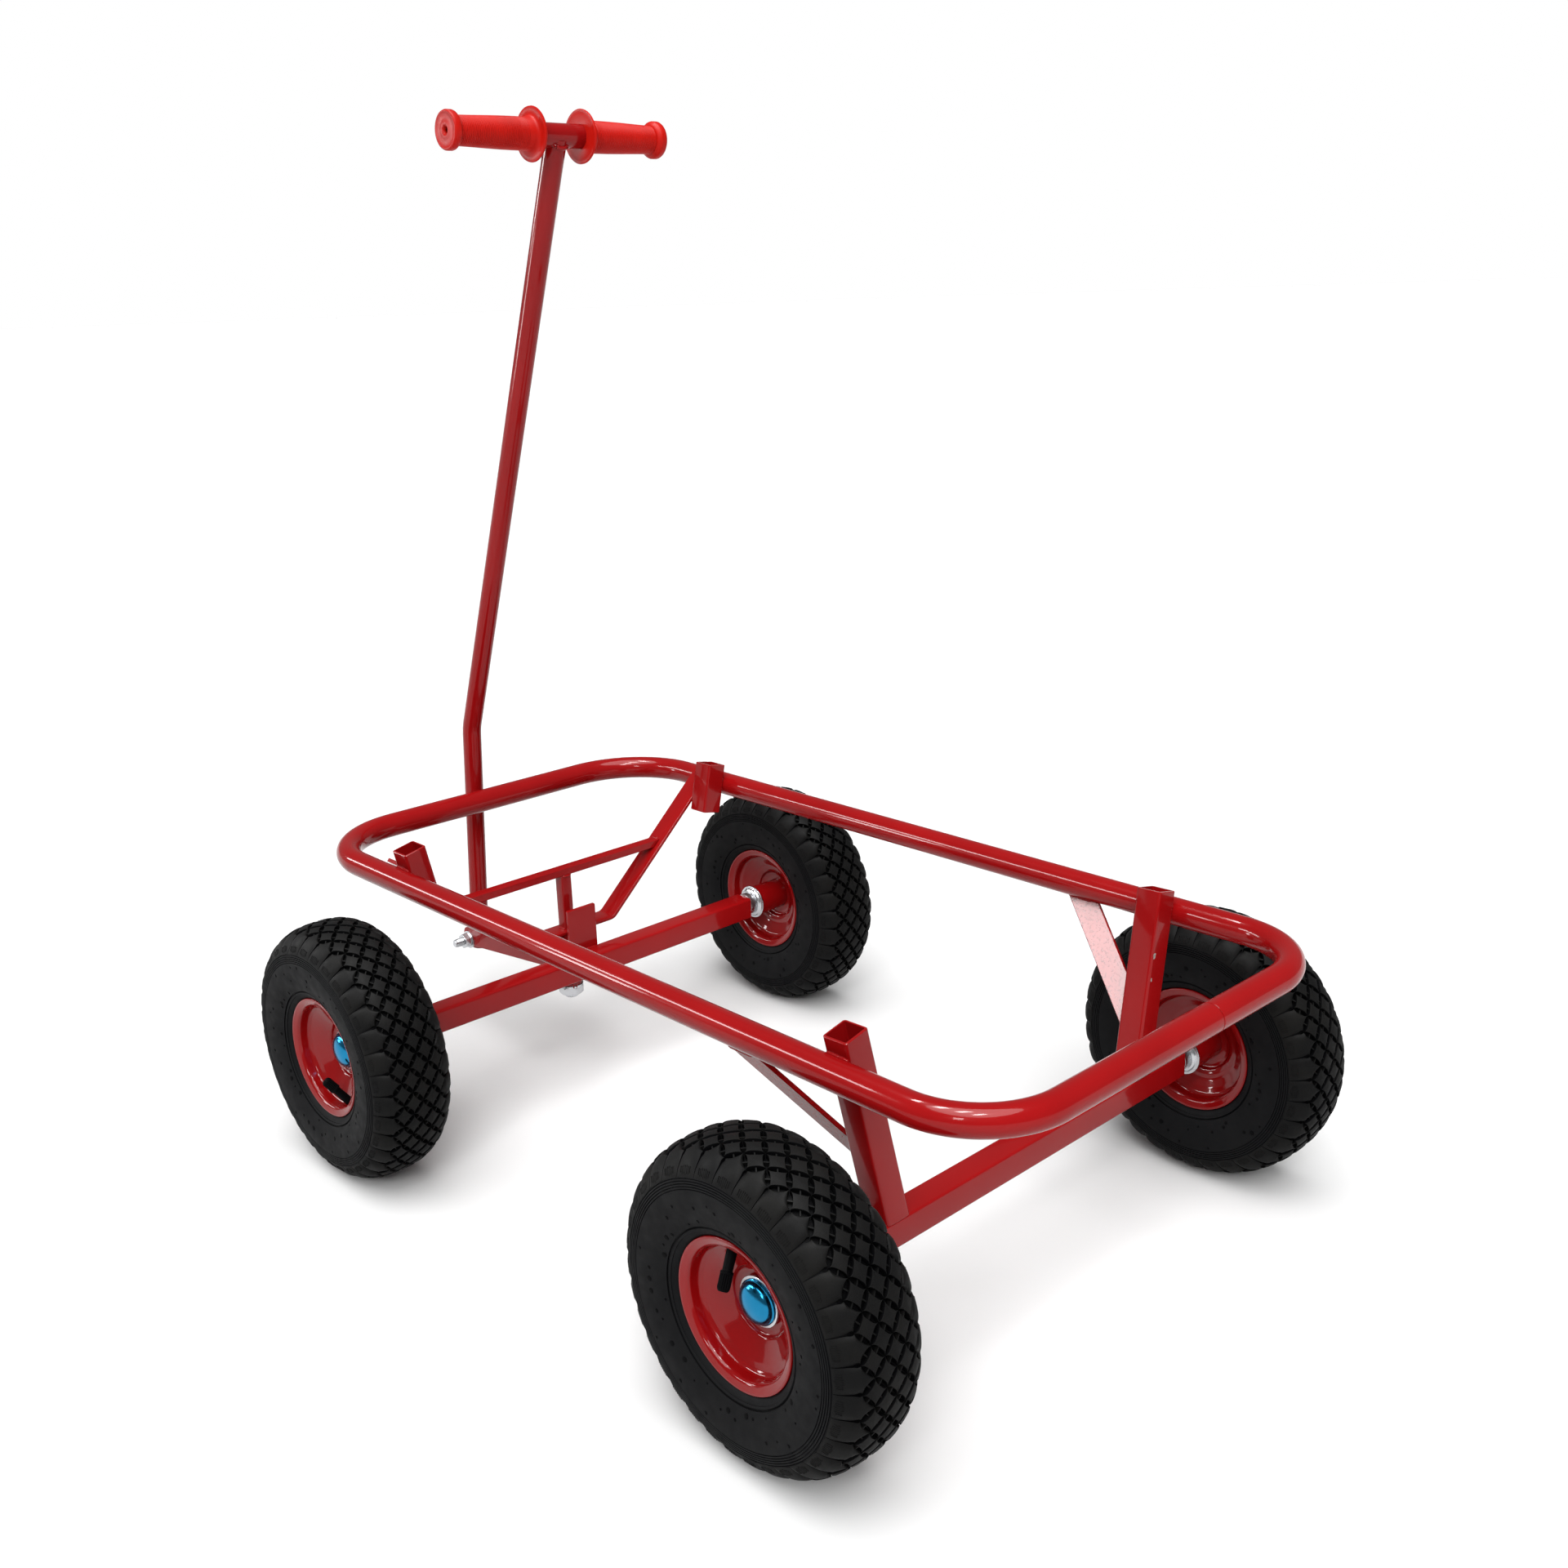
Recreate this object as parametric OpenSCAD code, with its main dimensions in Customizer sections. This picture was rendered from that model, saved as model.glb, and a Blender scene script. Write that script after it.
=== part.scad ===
// Four-wheeled pull wagon chassis with a steered front axle and a T handle.
// Millimetres. +X forward, +Y left, +Z up. The origin is under the middle of
// the bounding box, on the ground plane the tyres stand on.

/* [Wheelbase and track] */
// Distance between the two axles
wheelbase = 600; // [500:1:750]
// Wheel centre plane from the middle of the wagon
track_half = 292.6; // [260:0.1:330]
// Tyre outside diameter
tyre_d = 260; // [220:1:300]
// Side of the square axle tubes
beam_side = 25; // [20:1:32]
// Wall of the square tubes
square_wall = 2; // [1.5:0.1:3]
// Half length of the axle tubes
beam_half = 232; // [200:1:250]
// Axle rod diameter
axle_d = 16; // [12:0.5:20]

/* [Top rail] */
// Rail tube diameter
rail_d = 25.4; // [20:0.1:32]
// Rail tube wall
rail_wall = 2; // [1.5:0.1:3]
// Height of the rail's centre line
rail_z = 283; // [240:1:330]
// Side rail centre line from the middle
rail_half = 220; // [190:1:240]
// Front rail ahead of the front axle
rail_ahead = 173.5; // [120:0.5:200]
// Rear rail behind the rear axle
rail_behind = 148; // [100:1:200]
// Centre line radius of the front corners
rail_front_r = 92; // [60:1:130]
// Centre line radius of the rear corners
rail_rear_r = 76; // [60:1:130]
// Place of the butt joint on the rear rail, to the right
rail_seam_y = 46; // [0:1:100]

/* [Posts and braces] */
// Side of the square posts
post_side = 25; // [20:1:32]
// Outward lean of the rear posts
post_lean = 12.4; // [0:0.1:20]
// Forward rake of the rear posts
post_rake = 2; // [0:0.1:6]
// Height of the rear posts' upper ends
post_top = 308; // [280:1:340]
// Outward lean of the front sockets
socket_lean = 12; // [0:0.1:20]
// Height of the front sockets' upper ends
socket_top = 311; // [280:1:340]
// Length of the front sockets
socket_len = 56; // [40:1:90]
// Front sockets' centre ahead of the front axle
socket_ahead = 14; // [0:0.5:30]
// Depth of the saddle each post is notched to fit the rail
saddle = 0.5; // [0.2:0.1:1]
// Width of the brace straps
brace_w = 25; // [16:1:32]
// Thickness of the brace straps
brace_t = 4; // [3:0.5:6]
// Outward tilt of the brace straps
brace_tilt = 30; // [0:1:40]
// Slope of the brace straps along the wagon
brace_slope = 46; // [30:1:60]

/* [Front hanger] */
// Width of the hanger strap along the wagon
hanger_w = 25; // [20:1:40]
// Thickness of the hanger strap
hanger_t = 4; // [3:0.5:6]
// Underside of the hanger's flat
hanger_z = 156; // [145:1:170]
// Half width of the hanger's flat
hanger_flat = 57.8; // [30:0.1:90]
// Slope of the hanger's arms
hanger_slope = 42.1; // [30:0.1:60]
// Reach of the hanger's arms to each side
hanger_reach = 206; // [180:1:215]
// Underside of the cross bar
cross_z = 222.5; // [200:0.5:250]
// Height of the cross bar
cross_h = 9; // [5:0.5:15]
// Depth of the cross bar along the wagon
cross_w = 12; // [6:0.5:20]
// Side of the centre strut
strut_side = 13; // [8:0.5:20]

/* [Steering] */
// Kingpin diameter
kingpin_d = 16; // [12:0.5:20]
// Outside diameter of the steering boss
boss_d = 26; // [22:0.5:32]
// Half gap between the tongue plates
tongue_gap = 11.2; // [10.8:0.1:16]
// Thickness of the tongue plates
tongue_t = 3.5; // [2:0.5:5]
// Handle pivot ahead of the front axle
pivot_ahead = 222.5; // [180:0.5:260]
// Height of the handle pivot
pivot_z = 98.9; // [80:0.1:120]
// Tongue beyond the handle pivot
tongue_nose = 12; // [9:0.5:20]
// Half width of the stop plate
stop_half = 18.6; // [10:0.1:30]
// Upper edge of the stop plate
stop_top = 191; // [160:1:210]
// Thickness of the stop plate
stop_t = 4; // [3:0.5:6]

/* [Handle] */
// Handle tube diameter
handle_d = 21; // [18:0.1:25]
// Handle tube wall
handle_wall = 1.8; // [1.2:0.1:3]
// Straight stretch of the lower leg, pivot to bend
lower_len = 257; // [200:1:320]
// Backward lean of the lower leg
lower_lean = 5; // [0:0.1:15]
// Straight stretch of the upper leg, bend to cross bar
upper_len = 650; // [500:1:750]
// Centre line radius of the bend
bend_r = 60; // [40:1:120]
// Half length of the handle's cross bar
bar_half = 118; // [90:1:150]
// Diameter of the handle's cross bar, a little over the tube's
bar_d = 22; // [21.5:0.1:26]
// Inner face of each grip from the middle
grip_inner = 27; // [15:0.5:40]
// Grip body radius
grip_r = 13.5; // [12:0.1:18]
// Grip inner flange radius
grip_flange_r = 24.5; // [16:0.5:30]
// Handle pivot bolt diameter
pivot_bolt_d = 10; // [8:0.5:12]

/* [Wheels] */
// Half width of the tyre
tyre_half_w = 42.9; // [35:0.1:50]
// Rim flange radius
flange_r = 60.7; // [50:0.1:70]
// Rim flange distance from the wheel's centre plane
flange_w = 33.5; // [25:0.1:40]
// Rim sheet thickness
rim_t = 2.4; // [1.5:0.1:3]
// Hub tube outside radius
hub_r = 17.5; // [14:0.5:22]
// Hub's inner end from the wheel's centre plane
hub_in = 46; // [35:0.5:50]
// Hub's outer end from the wheel's centre plane
hub_out = 6; // [4:0.5:20]
// Valve angle on the rear left wheel, from forward to up
valve_rl = 77; // [-180:1:180]
// Valve angle on the front left wheel
valve_fl = -114; // [-180:1:180]
// Valve angle on the rear right wheel
valve_rr = 150; // [-180:1:180]
// Valve angle on the front right wheel
valve_fr = 15; // [-180:1:180]

/* [Hidden] */
$fn = 96;
red = [0.62, 0.03, 0.03];
red_grip = [0.78, 0.07, 0.05];
black = [0.05, 0.05, 0.055];
zinc = [0.72, 0.74, 0.76];
blue = [0.03, 0.30, 0.55];

rail_r = rail_d / 2;
// The middle of the box lies under the origin
x_rear = -(wheelbase + pivot_ahead + tongue_nose - rail_behind - rail_r) / 2;
x_front = x_rear + wheelbase;
axle_z = tyre_d / 2;
beam_z = axle_z - 1.7;
beam_top = beam_z + beam_side / 2;
beam_in = beam_side - 2 * square_wall;
x_rail_f = x_front + rail_ahead;
x_rail_r = x_rear - rail_behind;
x_socket = x_front + socket_ahead;
x_hanger = x_socket + post_side / 2;
x_pin = x_hanger + hanger_w / 2;
x_pivot = x_front + pivot_ahead;
clear = 0.05;

// Post centre line from the rail's centre line, measured at the rail
post_off = rail_r + post_side / 2 - saddle;
post_y = rail_half - post_off / cos(post_lean);
post_foot_y = post_y - (rail_z - beam_top) * tan(post_lean);
socket_y = rail_half - post_off / cos(socket_lean);

// Hub stack beside each wheel
hub_y_in = track_half - hub_in;
hub_y_out = track_half + hub_out;
cup_t = 5;
cup_y = hub_y_in - 0.5 - cup_t;
outer_washer_y = hub_y_out + 0.5;
outer_washer_t = 2;
cap_y = outer_washer_y + outer_washer_t;
cap_h = 10;

// ---------------------------------------------------------------- helpers

// A cylinder along +Y from y0 to y1
module along_y(r, y0, y1) {
    translate([0, y0, 0]) rotate([-90, 0, 0]) cylinder(r = r, h = y1 - y0);
}

// A ring along +Y
module ring_y(r_out, r_in, y0, y1) {
    difference() {
        along_y(r_out, y0, y1);
        along_y(r_in, y0 - 1, y1 + 1);
    }
}

// The same thing on both sides of the wagon
module both_sides() {
    children();
    mirror([0, 1, 0]) children();
}

// A hexagonal nut or head along +Z, across flats af
module hex(af, h) {
    cylinder(r = af / 2 / cos(30), h = h, $fn = 6);
}

// ---------------------------------------------------------------- top rail

module rail_straight(p, d, len, r) {
    translate(p) rotate([0, 90, d]) cylinder(r = r, h = len);
}

module rail_corner(p, bend_r, a0, r) {
    translate(p) rotate([0, 0, a0])
        rotate_extrude(angle = 90) translate([bend_r, 0]) circle(r = r);
}

// The whole ring at tube radius r, with the seam left open by gap
module rail_ring(r, gap) {
    front_x = x_rail_f - rail_front_r;
    rear_x = x_rail_r + rail_rear_r;
    front_y = rail_half - rail_front_r;
    rear_y = rail_half - rail_rear_r;
    for (s = [-1, 1])
        rail_straight([rear_x, s * rail_half, rail_z], 0, front_x - rear_x, r);
    rail_straight([x_rail_f, -front_y, rail_z], 90, 2 * front_y, r);
    rail_straight([x_rail_r, -rear_y, rail_z], 90, rear_y - rail_seam_y - gap / 2, r);
    rail_straight([x_rail_r, -rail_seam_y + gap / 2, rail_z], 90,
                  rear_y + rail_seam_y - gap / 2, r);
    rail_corner([front_x, front_y, rail_z], rail_front_r, 0, r);
    rail_corner([front_x, -front_y, rail_z], rail_front_r, -90, r);
    rail_corner([rear_x, rear_y, rail_z], rail_rear_r, 90, r);
    rail_corner([rear_x, -rear_y, rail_z], rail_rear_r, 180, r);
}

module top_rail() {
    seam_gap = 0.5;
    color(red) difference() {
        rail_ring(rail_r, seam_gap);
        rail_ring(rail_r - rail_wall, 0);
    }
}

// The swaged insert that joins the rail's two ends
module rail_joint_sleeve() {
    half = 22;
    color(red) translate([x_rail_r, -rail_seam_y, rail_z])
        ring_y(rail_r - rail_wall - clear, rail_r - rail_wall - 2, -half, half);
}

// Solid side rail, used to notch what meets it
module side_rail_tool() {
    for (s = [-1, 1])
        rail_straight([x_rear - 60, s * rail_half, rail_z], 0, wheelbase + 120, rail_r);
}

// ---------------------------------------------------------------- posts

// Square tube along local +Z, centred
module square_bar(side, z0, z1) {
    translate([-side / 2, -side / 2, z0]) cube([side, side, z1 - z0]);
}

module square_tube(side, z0, z1) {
    difference() {
        square_bar(side, z0, z1);
        square_bar(side - 2 * square_wall, z0 - 1, z1 + 1);
    }
}

// The rear post's own frame, its foot on the axle tube
module rear_post_place() {
    translate([x_rear, post_foot_y, beam_top])
        rotate([-post_lean, post_rake, 0]) children();
}

module rear_post_left() {
    len = (post_top - beam_top) / cos(post_lean);
    color(red) difference() {
        rear_post_place() square_tube(post_side, -20, len);
        translate([x_rear - 50, 0, beam_top - 60]) cube([100, 300, 60]);
        side_rail_tool();
    }
}

module rear_post_right() {
    mirror([0, 1, 0]) rear_post_left();
}

module front_socket_place() {
    translate([x_socket, socket_y, rail_z]) rotate([-socket_lean, 0, 0]) children();
}

module front_socket_left() {
    top = (socket_top - rail_z) / cos(socket_lean);
    color(red) difference() {
        front_socket_place() square_tube(post_side, top - socket_len, top);
        side_rail_tool();
    }
}

module front_socket_right() {
    mirror([0, 1, 0]) front_socket_left();
}

// Flat strap from the rear post's front face up to the side rail
module rear_brace_left() {
    low_x = 6;
    low_s = 30;
    run = 118;
    rise = run * tan(brace_slope);
    band = brace_w / cos(brace_slope);
    foot_y = 153.6;
    color(red) difference() {
        translate([x_rear + low_x, foot_y, beam_top + 15])
            rotate([90 - brace_tilt, 0, 0])
                translate([0, 0, -brace_t / 2])
                    linear_extrude(height = brace_t)
                        polygon([[0, low_s - 11], [run, low_s - 11 + rise],
                                 [run, low_s - 11 + rise + band], [0, low_s - 11 + band]]);
        rear_post_place() square_bar(post_side, -40, 260);
        side_rail_tool();
        translate([x_rear - 100, 0, rail_z]) cube([400, 400, 200]);
        translate([x_rear - 100, rail_half, 0]) cube([400, 400, 400]);
    }
}

module rear_brace_right() {
    mirror([0, 1, 0]) rear_brace_left();
}

// ---------------------------------------------------------------- axles

module axle_beam(x) {
    color(red) translate([x, 0, beam_z]) difference() {
        translate([-beam_side / 2, -beam_half, -beam_side / 2])
            cube([beam_side, 2 * beam_half, beam_side]);
        translate([-beam_in / 2, -beam_half - 1, -beam_in / 2])
            cube([beam_in, 2 * beam_half + 2, beam_in]);
    }
}

// Square plug inside the beam's end with the turned axle rod on it
module axle_stubs(x) {
    plug = 60;
    fit = 0.05;
    rod_end = cap_y + 4;
    color(zinc) both_sides() {
        translate([x - beam_in / 2 + fit, beam_half - plug, beam_z - beam_in / 2 + fit])
            cube([beam_in - 2 * fit, plug, beam_in - 2 * fit]);
        translate([x, 0, axle_z]) along_y(axle_d / 2, beam_half, rod_end);
    }
}

// Spacer and cupped washer inside each hub, flat washer outside it
module axle_washers(x) {
    bore = axle_d / 2 + clear;
    color(zinc) both_sides() translate([x, 0, axle_z]) {
        ring_y(13, bore, beam_half, cup_y);
        difference() {
            union() {
                along_y(19.5, cup_y + cup_t - 2, cup_y + cup_t);
                along_y(16, cup_y, cup_y + cup_t);
            }
            along_y(bore, cup_y - 1, cup_y + cup_t + 1);
        }
        ring_y(20, bore, outer_washer_y, cap_y);
    }
}

// Domed push-on cap over each axle end
module axle_caps(x) {
    cap_r = 18;
    skirt = 1.5;
    n = 10;
    dome = [for (i = [0:n]) [cap_r * cos(i * 90 / n), skirt + (cap_h - skirt) * sin(i * 90 / n)]];
    color(blue) both_sides() translate([x, cap_y, axle_z]) rotate([-90, 0, 0])
        difference() {
            rotate_extrude() polygon(concat([[0, 0], [cap_r, 0]],
                [for (i = [0:n - 1]) dome[i]], [[0, cap_h]]));
            translate([0, 0, -1]) cylinder(r = axle_d / 2 + clear, h = 6);
        }
}

module rear_axle_beam() {
    axle_beam(x_rear);
}

module rear_axle_stubs() {
    axle_stubs(x_rear);
}

module rear_washers() {
    axle_washers(x_rear);
}

module rear_caps() {
    axle_caps(x_rear);
}

module front_axle_beam() {
    axle_beam(x_front);
}

module front_axle_stubs() {
    axle_stubs(x_front);
}

module front_washers() {
    axle_washers(x_front);
}

module front_caps() {
    axle_caps(x_front);
}

// ---------------------------------------------------------------- front hanger

// One side of the strap's outline in the Y-Z plane
module hanger_profile() {
    run = (hanger_reach - hanger_flat) / cos(hanger_slope);
    end_y = hanger_reach;
    end_z = run * sin(hanger_slope);
    nx = hanger_t * sin(hanger_slope);
    nz = hanger_t * cos(hanger_slope);
    inner = hanger_flat - hanger_t * tan(hanger_slope / 2);
    polygon([[-hanger_flat, 0], [hanger_flat, 0], [end_y, end_z],
             [end_y - nx, end_z + nz], [inner, hanger_t], [-inner, hanger_t],
             [-end_y + nx, end_z + nz], [-end_y, end_z]]);
}

module front_hanger() {
    color(red) difference() {
        translate([x_hanger, 0, hanger_z]) rotate([90, 0, 90])
            linear_extrude(height = hanger_w) hanger_profile();
        side_rail_tool();
    }
}

// Half width of the space between the hanger's arms at height z
function arm_gap(z) = hanger_flat - hanger_t * tan(hanger_slope / 2)
    + (z - hanger_z - hanger_t) / tan(hanger_slope);

module front_cross_bar() {
    low = arm_gap(cross_z);
    high = arm_gap(cross_z + cross_h);
    color(red) translate([x_pin - cross_w / 2, 0, 0]) rotate([90, 0, 90])
        linear_extrude(height = cross_w)
            polygon([[-low, cross_z], [low, cross_z],
                     [high, cross_z + cross_h], [-high, cross_z + cross_h]]);
}

module hanger_strut() {
    color(red) translate([x_pin - strut_side / 2, -strut_side / 2, hanger_z + hanger_t])
        cube([strut_side, strut_side, cross_z - hanger_z - hanger_t]);
}

// ---------------------------------------------------------------- kingpin

pin_low = 77;
nut_low = 81;
nut_h = 9;
washer_t = 2.5;
boss_low = nut_low + nut_h + washer_t + 0.5;
boss_high = hanger_z - 0.5;

module kingpin() {
    color(zinc) translate([x_pin, 0, pin_low])
        cylinder(r = kingpin_d / 2, h = hanger_z - pin_low);
}

module kingpin_washer() {
    color(zinc) translate([x_pin, 0, nut_low + nut_h]) difference() {
        cylinder(r = 14, h = washer_t);
        translate([0, 0, -1]) cylinder(r = kingpin_d / 2 + clear, h = washer_t + 2);
    }
}

module kingpin_nut() {
    color(zinc) translate([x_pin, 0, nut_low]) difference() {
        hex(24, nut_h);
        translate([0, 0, -1]) cylinder(r = kingpin_d / 2 + clear, h = nut_h + 2);
    }
}

// ---------------------------------------------------------------- steering

// Lower edge of the tongue at distance d ahead of the beam
beam_face = x_front + beam_side / 2;
tongue_low_0 = 115.5;
tongue_low_1 = 89.5;
tongue_high_0 = 139.5;
tongue_high_1 = 112;
tongue_end = x_pivot + tongue_nose;
tongue_len = tongue_end - beam_face;

module boss_tool() {
    translate([x_pin, 0, boss_low - 5]) cylinder(r = boss_d / 2, h = boss_high - boss_low + 10);
}

module steering_boss() {
    color(red) translate([x_pin, 0, boss_low]) difference() {
        cylinder(r = boss_d / 2, h = boss_high - boss_low);
        translate([0, 0, -1]) cylinder(r = kingpin_d / 2 + clear, h = boss_high - boss_low + 2);
    }
}

module tongue_plate_left() {
    color(red) difference() {
        translate([0, tongue_gap + tongue_t, 0]) rotate([90, 0, 0])
            linear_extrude(height = tongue_t)
                polygon([[beam_face, tongue_low_0], [tongue_end, tongue_low_1],
                         [tongue_end, tongue_high_1], [beam_face, tongue_high_0]]);
        boss_tool();
        translate([x_pivot, 0, pivot_z]) along_y(pivot_bolt_d / 2 + clear, 0, 40);
    }
}

module tongue_plate_right() {
    mirror([0, 1, 0]) tongue_plate_left();
}

module tongue_web() {
    web_t = 3;
    web_len = tongue_len - tongue_nose - 31;
    fall = (tongue_low_0 - tongue_low_1) / tongue_len;
    color(red) difference() {
        translate([0, tongue_gap, 0]) rotate([90, 0, 0])
            linear_extrude(height = 2 * tongue_gap)
                polygon([[beam_face, tongue_low_0],
                         [beam_face + web_len, tongue_low_0 - web_len * fall],
                         [beam_face + web_len, tongue_low_0 - web_len * fall + web_t],
                         [beam_face, tongue_low_0 + web_t]]);
        boss_tool();
    }
}

module stop_plate() {
    color(red) translate([beam_face - stop_t, -stop_half, beam_top])
        cube([stop_t, 2 * stop_half, stop_top - beam_top]);
}

// ---------------------------------------------------------------- handle pivot

pivot_face = tongue_gap + tongue_t;
pivot_washer_t = 2;
pivot_nut_h = 8;

module pivot_bolt() {
    head_h = 6.5;
    color(zinc) translate([x_pivot, 0, pivot_z]) {
        along_y(pivot_bolt_d / 2, -pivot_face - pivot_washer_t, 36);
        translate([0, -pivot_face - pivot_washer_t, 0]) rotate([90, 0, 0]) hex(17, head_h);
    }
}

module pivot_washers() {
    color(zinc) both_sides() translate([x_pivot, 0, pivot_z])
        ring_y(10.5, pivot_bolt_d / 2 + clear, pivot_face, pivot_face + pivot_washer_t);
}

module pivot_nut() {
    color(zinc) translate([x_pivot, pivot_face + pivot_washer_t, pivot_z]) rotate([-90, 0, 0])
        difference() {
            hex(16, pivot_nut_h);
            translate([0, 0, -1]) cylinder(r = pivot_bolt_d / 2 + clear, h = pivot_nut_h + 2);
        }
}

// ---------------------------------------------------------------- handle

// The bend turns by the angle of a 7-24-25 triangle
bend_angle = asin(0.28);
upper_lean = lower_lean + bend_angle;
bend_reach = bend_r * tan(bend_angle / 2);
top_x = -(lower_len + bend_reach) * sin(lower_lean) - (upper_len + bend_reach) * sin(upper_lean);
top_z = (lower_len + bend_reach) * cos(lower_lean) + (upper_len + bend_reach) * cos(upper_lean);

// The bent tube's path at radius r, from tail below the pivot up to the cross bar
module handle_path(r, tail) {
    rotate([0, -lower_lean, 0]) {
        translate([0, 0, -tail]) cylinder(r = r, h = lower_len + tail);
        translate([-bend_r, 0, lower_len]) {
            rotate([90, 0, 0]) rotate_extrude(angle = bend_angle)
                translate([bend_r, 0]) circle(r = r);
            rotate([0, -bend_angle, 0]) translate([bend_r, 0, 0])
                cylinder(r = r, h = upper_len);
        }
    }
}

module handle_tube() {
    tail = 12;
    color(red) translate([x_pivot, 0, pivot_z]) difference() {
        handle_path(handle_d / 2, tail);
        handle_path(handle_d / 2 - handle_wall, tail + 1);
        along_y(pivot_bolt_d / 2 + clear, -30, 30);
        translate([top_x, 0, top_z]) along_y(bar_d / 2, -40, 40);
    }
}

module handle_crossbar() {
    color(red) translate([x_pivot + top_x, 0, pivot_z + top_z])
        ring_y(bar_d / 2, bar_d / 2 - handle_wall, -bar_half, bar_half);
}

module grip_left() {
    r = bar_d / 2 + clear;
    end_r = 17.3;
    tip = bar_half + 3.5;
    color(red_grip) translate([x_pivot + top_x, 0, pivot_z + top_z]) rotate([-90, 0, 0])
        rotate_extrude() polygon([
            [r, grip_inner], [grip_flange_r - 0.8, grip_inner],
            [grip_flange_r, grip_inner + 1.2], [grip_flange_r - 0.6, grip_inner + 3.2],
            [grip_r + 4.5, grip_inner + 5], [grip_r + 1.6, grip_inner + 8],
            [grip_r + 0.7, grip_inner + 14], [grip_r + 0.4, 62], [grip_r - 0.2, 84],
            [grip_r - 0.2, 106], [grip_r + 0.8, 111.5], [end_r, 115.2],
            [end_r, tip - 1.6], [end_r - 1.6, tip], [3, tip], [3, bar_half + clear],
            [r, bar_half + clear]]);
}

module grip_right() {
    mirror([0, 1, 0]) grip_left();
}

// ---------------------------------------------------------------- wheels
// Profiles are drawn as [radius, distance outward from the wheel's centre plane]

sec_mid = 95;
sec_top = tyre_d / 2 - sec_mid;
sec_low = 54.5;
seat_r = 54.5;

// Outer contour of half the tyre, from the crown to the rim flange
function crown(i, n, w, h) = [sec_mid + h * pow(cos(i * 90 / n), 0.77),
                              w * pow(sin(i * 90 / n), 0.77)];
function side(r, w, h) = [r, w * sqrt(1 - pow((sec_mid - r) / h, 2))];

tyre_out = concat([for (i = [0:8]) crown(i, 8, tyre_half_w, sec_top)],
                  [for (r = [87, 79, 71, 64]) side(r, tyre_half_w, sec_low)],
                  [[61.2, flange_w - 0.4], [60.2, flange_w - 2.6],
                   [seat_r + 0.1, flange_w - 3.2], [seat_r + 0.1, 20.5]]);
tyre_in = concat([[61, 21.5], [68, 31]],
                 [for (r = [76, 84]) side(r, tyre_half_w - 4.5, sec_low)],
                 [for (i = [6:-1:0]) crown(i, 6, tyre_half_w - 4.8, sec_top - 7.5)]);
half_section = concat(tyre_out, tyre_in);

function flip(p) = [for (i = [len(p) - 1:-1:0]) [p[i][0], -p[i][1]]];

// Places a left-hand wheel with its axis through (x, axle_z), outward +Y
module wheel_place(x) {
    translate([x, track_half, axle_z]) rotate([-90, 0, 0]) children();
}

module tyre(x) {
    color(black) wheel_place(x) rotate_extrude() union() {
        polygon(half_section);
        polygon(flip(half_section));
    }
}

// Stamped half rim: flange, bead seat and half of the well
module rim_barrel() {
    rotate_extrude() polygon([
        [50, 0], [50, 14], [seat_r, 19.5], [seat_r, flange_w - 3.2],
        [flange_r - 0.6, flange_w - 2.6], [flange_r, flange_w - 1.2], [flange_r - 0.6, flange_w],
        [seat_r, flange_w - 0.5], [seat_r - rim_t, flange_w - 3],
        [seat_r - rim_t, 20.5], [50 - rim_t, 15], [50 - rim_t, 0]]);
}

// Dished disc from the well in to the hub tube
module rim_disc(face_w) {
    ridge = face_w + 4;
    rotate_extrude() polygon([
        [50, 19.3], [47.5, 19], [40, 14.5], [32, ridge + 2.2], [28, ridge],
        [26.8, face_w + 1], [22, face_w], [hub_r + clear, face_w],
        [hub_r + clear, face_w - rim_t], [23, face_w - rim_t],
        [28.4, face_w + 0.4], [33, ridge - 0.2], [40.8, 14.5 - rim_t - 0.2], [50, 16.5]]);
}

module rim_half(face_w) {
    union() {
        rim_barrel();
        rim_disc(face_w);
    }
}

module rim_outer(x) {
    color(red) wheel_place(x) rim_half(4.5);
}

module rim_inner(x) {
    color(red) wheel_place(x) mirror([0, 0, 1]) rim_half(6);
}

// Hub tube with a bearing seat at each end
module hub(x) {
    seat = 11;
    color(red) wheel_place(x) difference() {
        translate([0, 0, -hub_in]) cylinder(r = hub_r, h = hub_in + hub_out);
        translate([0, 0, -hub_in - 1]) cylinder(r = 12, h = hub_in + hub_out + 2);
        translate([0, 0, -hub_in - 1]) cylinder(r = 14, h = seat + 1);
        translate([0, 0, hub_out - seat]) cylinder(r = 14, h = seat + 1);
    }
}

module bearings(x) {
    seat = 11;
    inset = 0.5;
    color(zinc) wheel_place(x)
        for (z0 = [-hub_in + inset, hub_out - seat])
            translate([0, 0, z0]) difference() {
                cylinder(r = 14 - clear, h = seat - inset);
                translate([0, 0, -1]) cylinder(r = axle_d / 2 + clear, h = seat + 2);
            }
}

// Rubber valve that leans outward from the well at angle a
module valve(x, a) {
    reach = 33;
    lean = 32;
    color(black) wheel_place(x) difference() {
        rotate([0, 0, -a]) translate([49, 0, 20.5]) rotate([0, -90 + lean, 0]) {
            translate([0, 0, -8]) cylinder(r = 4.6, h = reach - 4);
            translate([0, 0, reach - 12]) cylinder(r = 5, h = 12);
        }
        rotate_extrude() polygon([
            [80, 0], [50 - rim_t, 0], [50 - rim_t, 15], [seat_r - rim_t, 20.5],
            [seat_r - rim_t, flange_w - 3], [seat_r, flange_w - 0.5], [80, flange_w]]);
        rotate_extrude() polygon([
            [51, 19.3], [47.5, 19], [40, 14.5], [32, 10.7], [20, 8], [20, -10], [51, -10]]);
    }
}

module tyre_rl() {
    tyre(x_rear);
}

module rim_outer_rl() {
    rim_outer(x_rear);
}

module rim_inner_rl() {
    rim_inner(x_rear);
}

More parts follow.
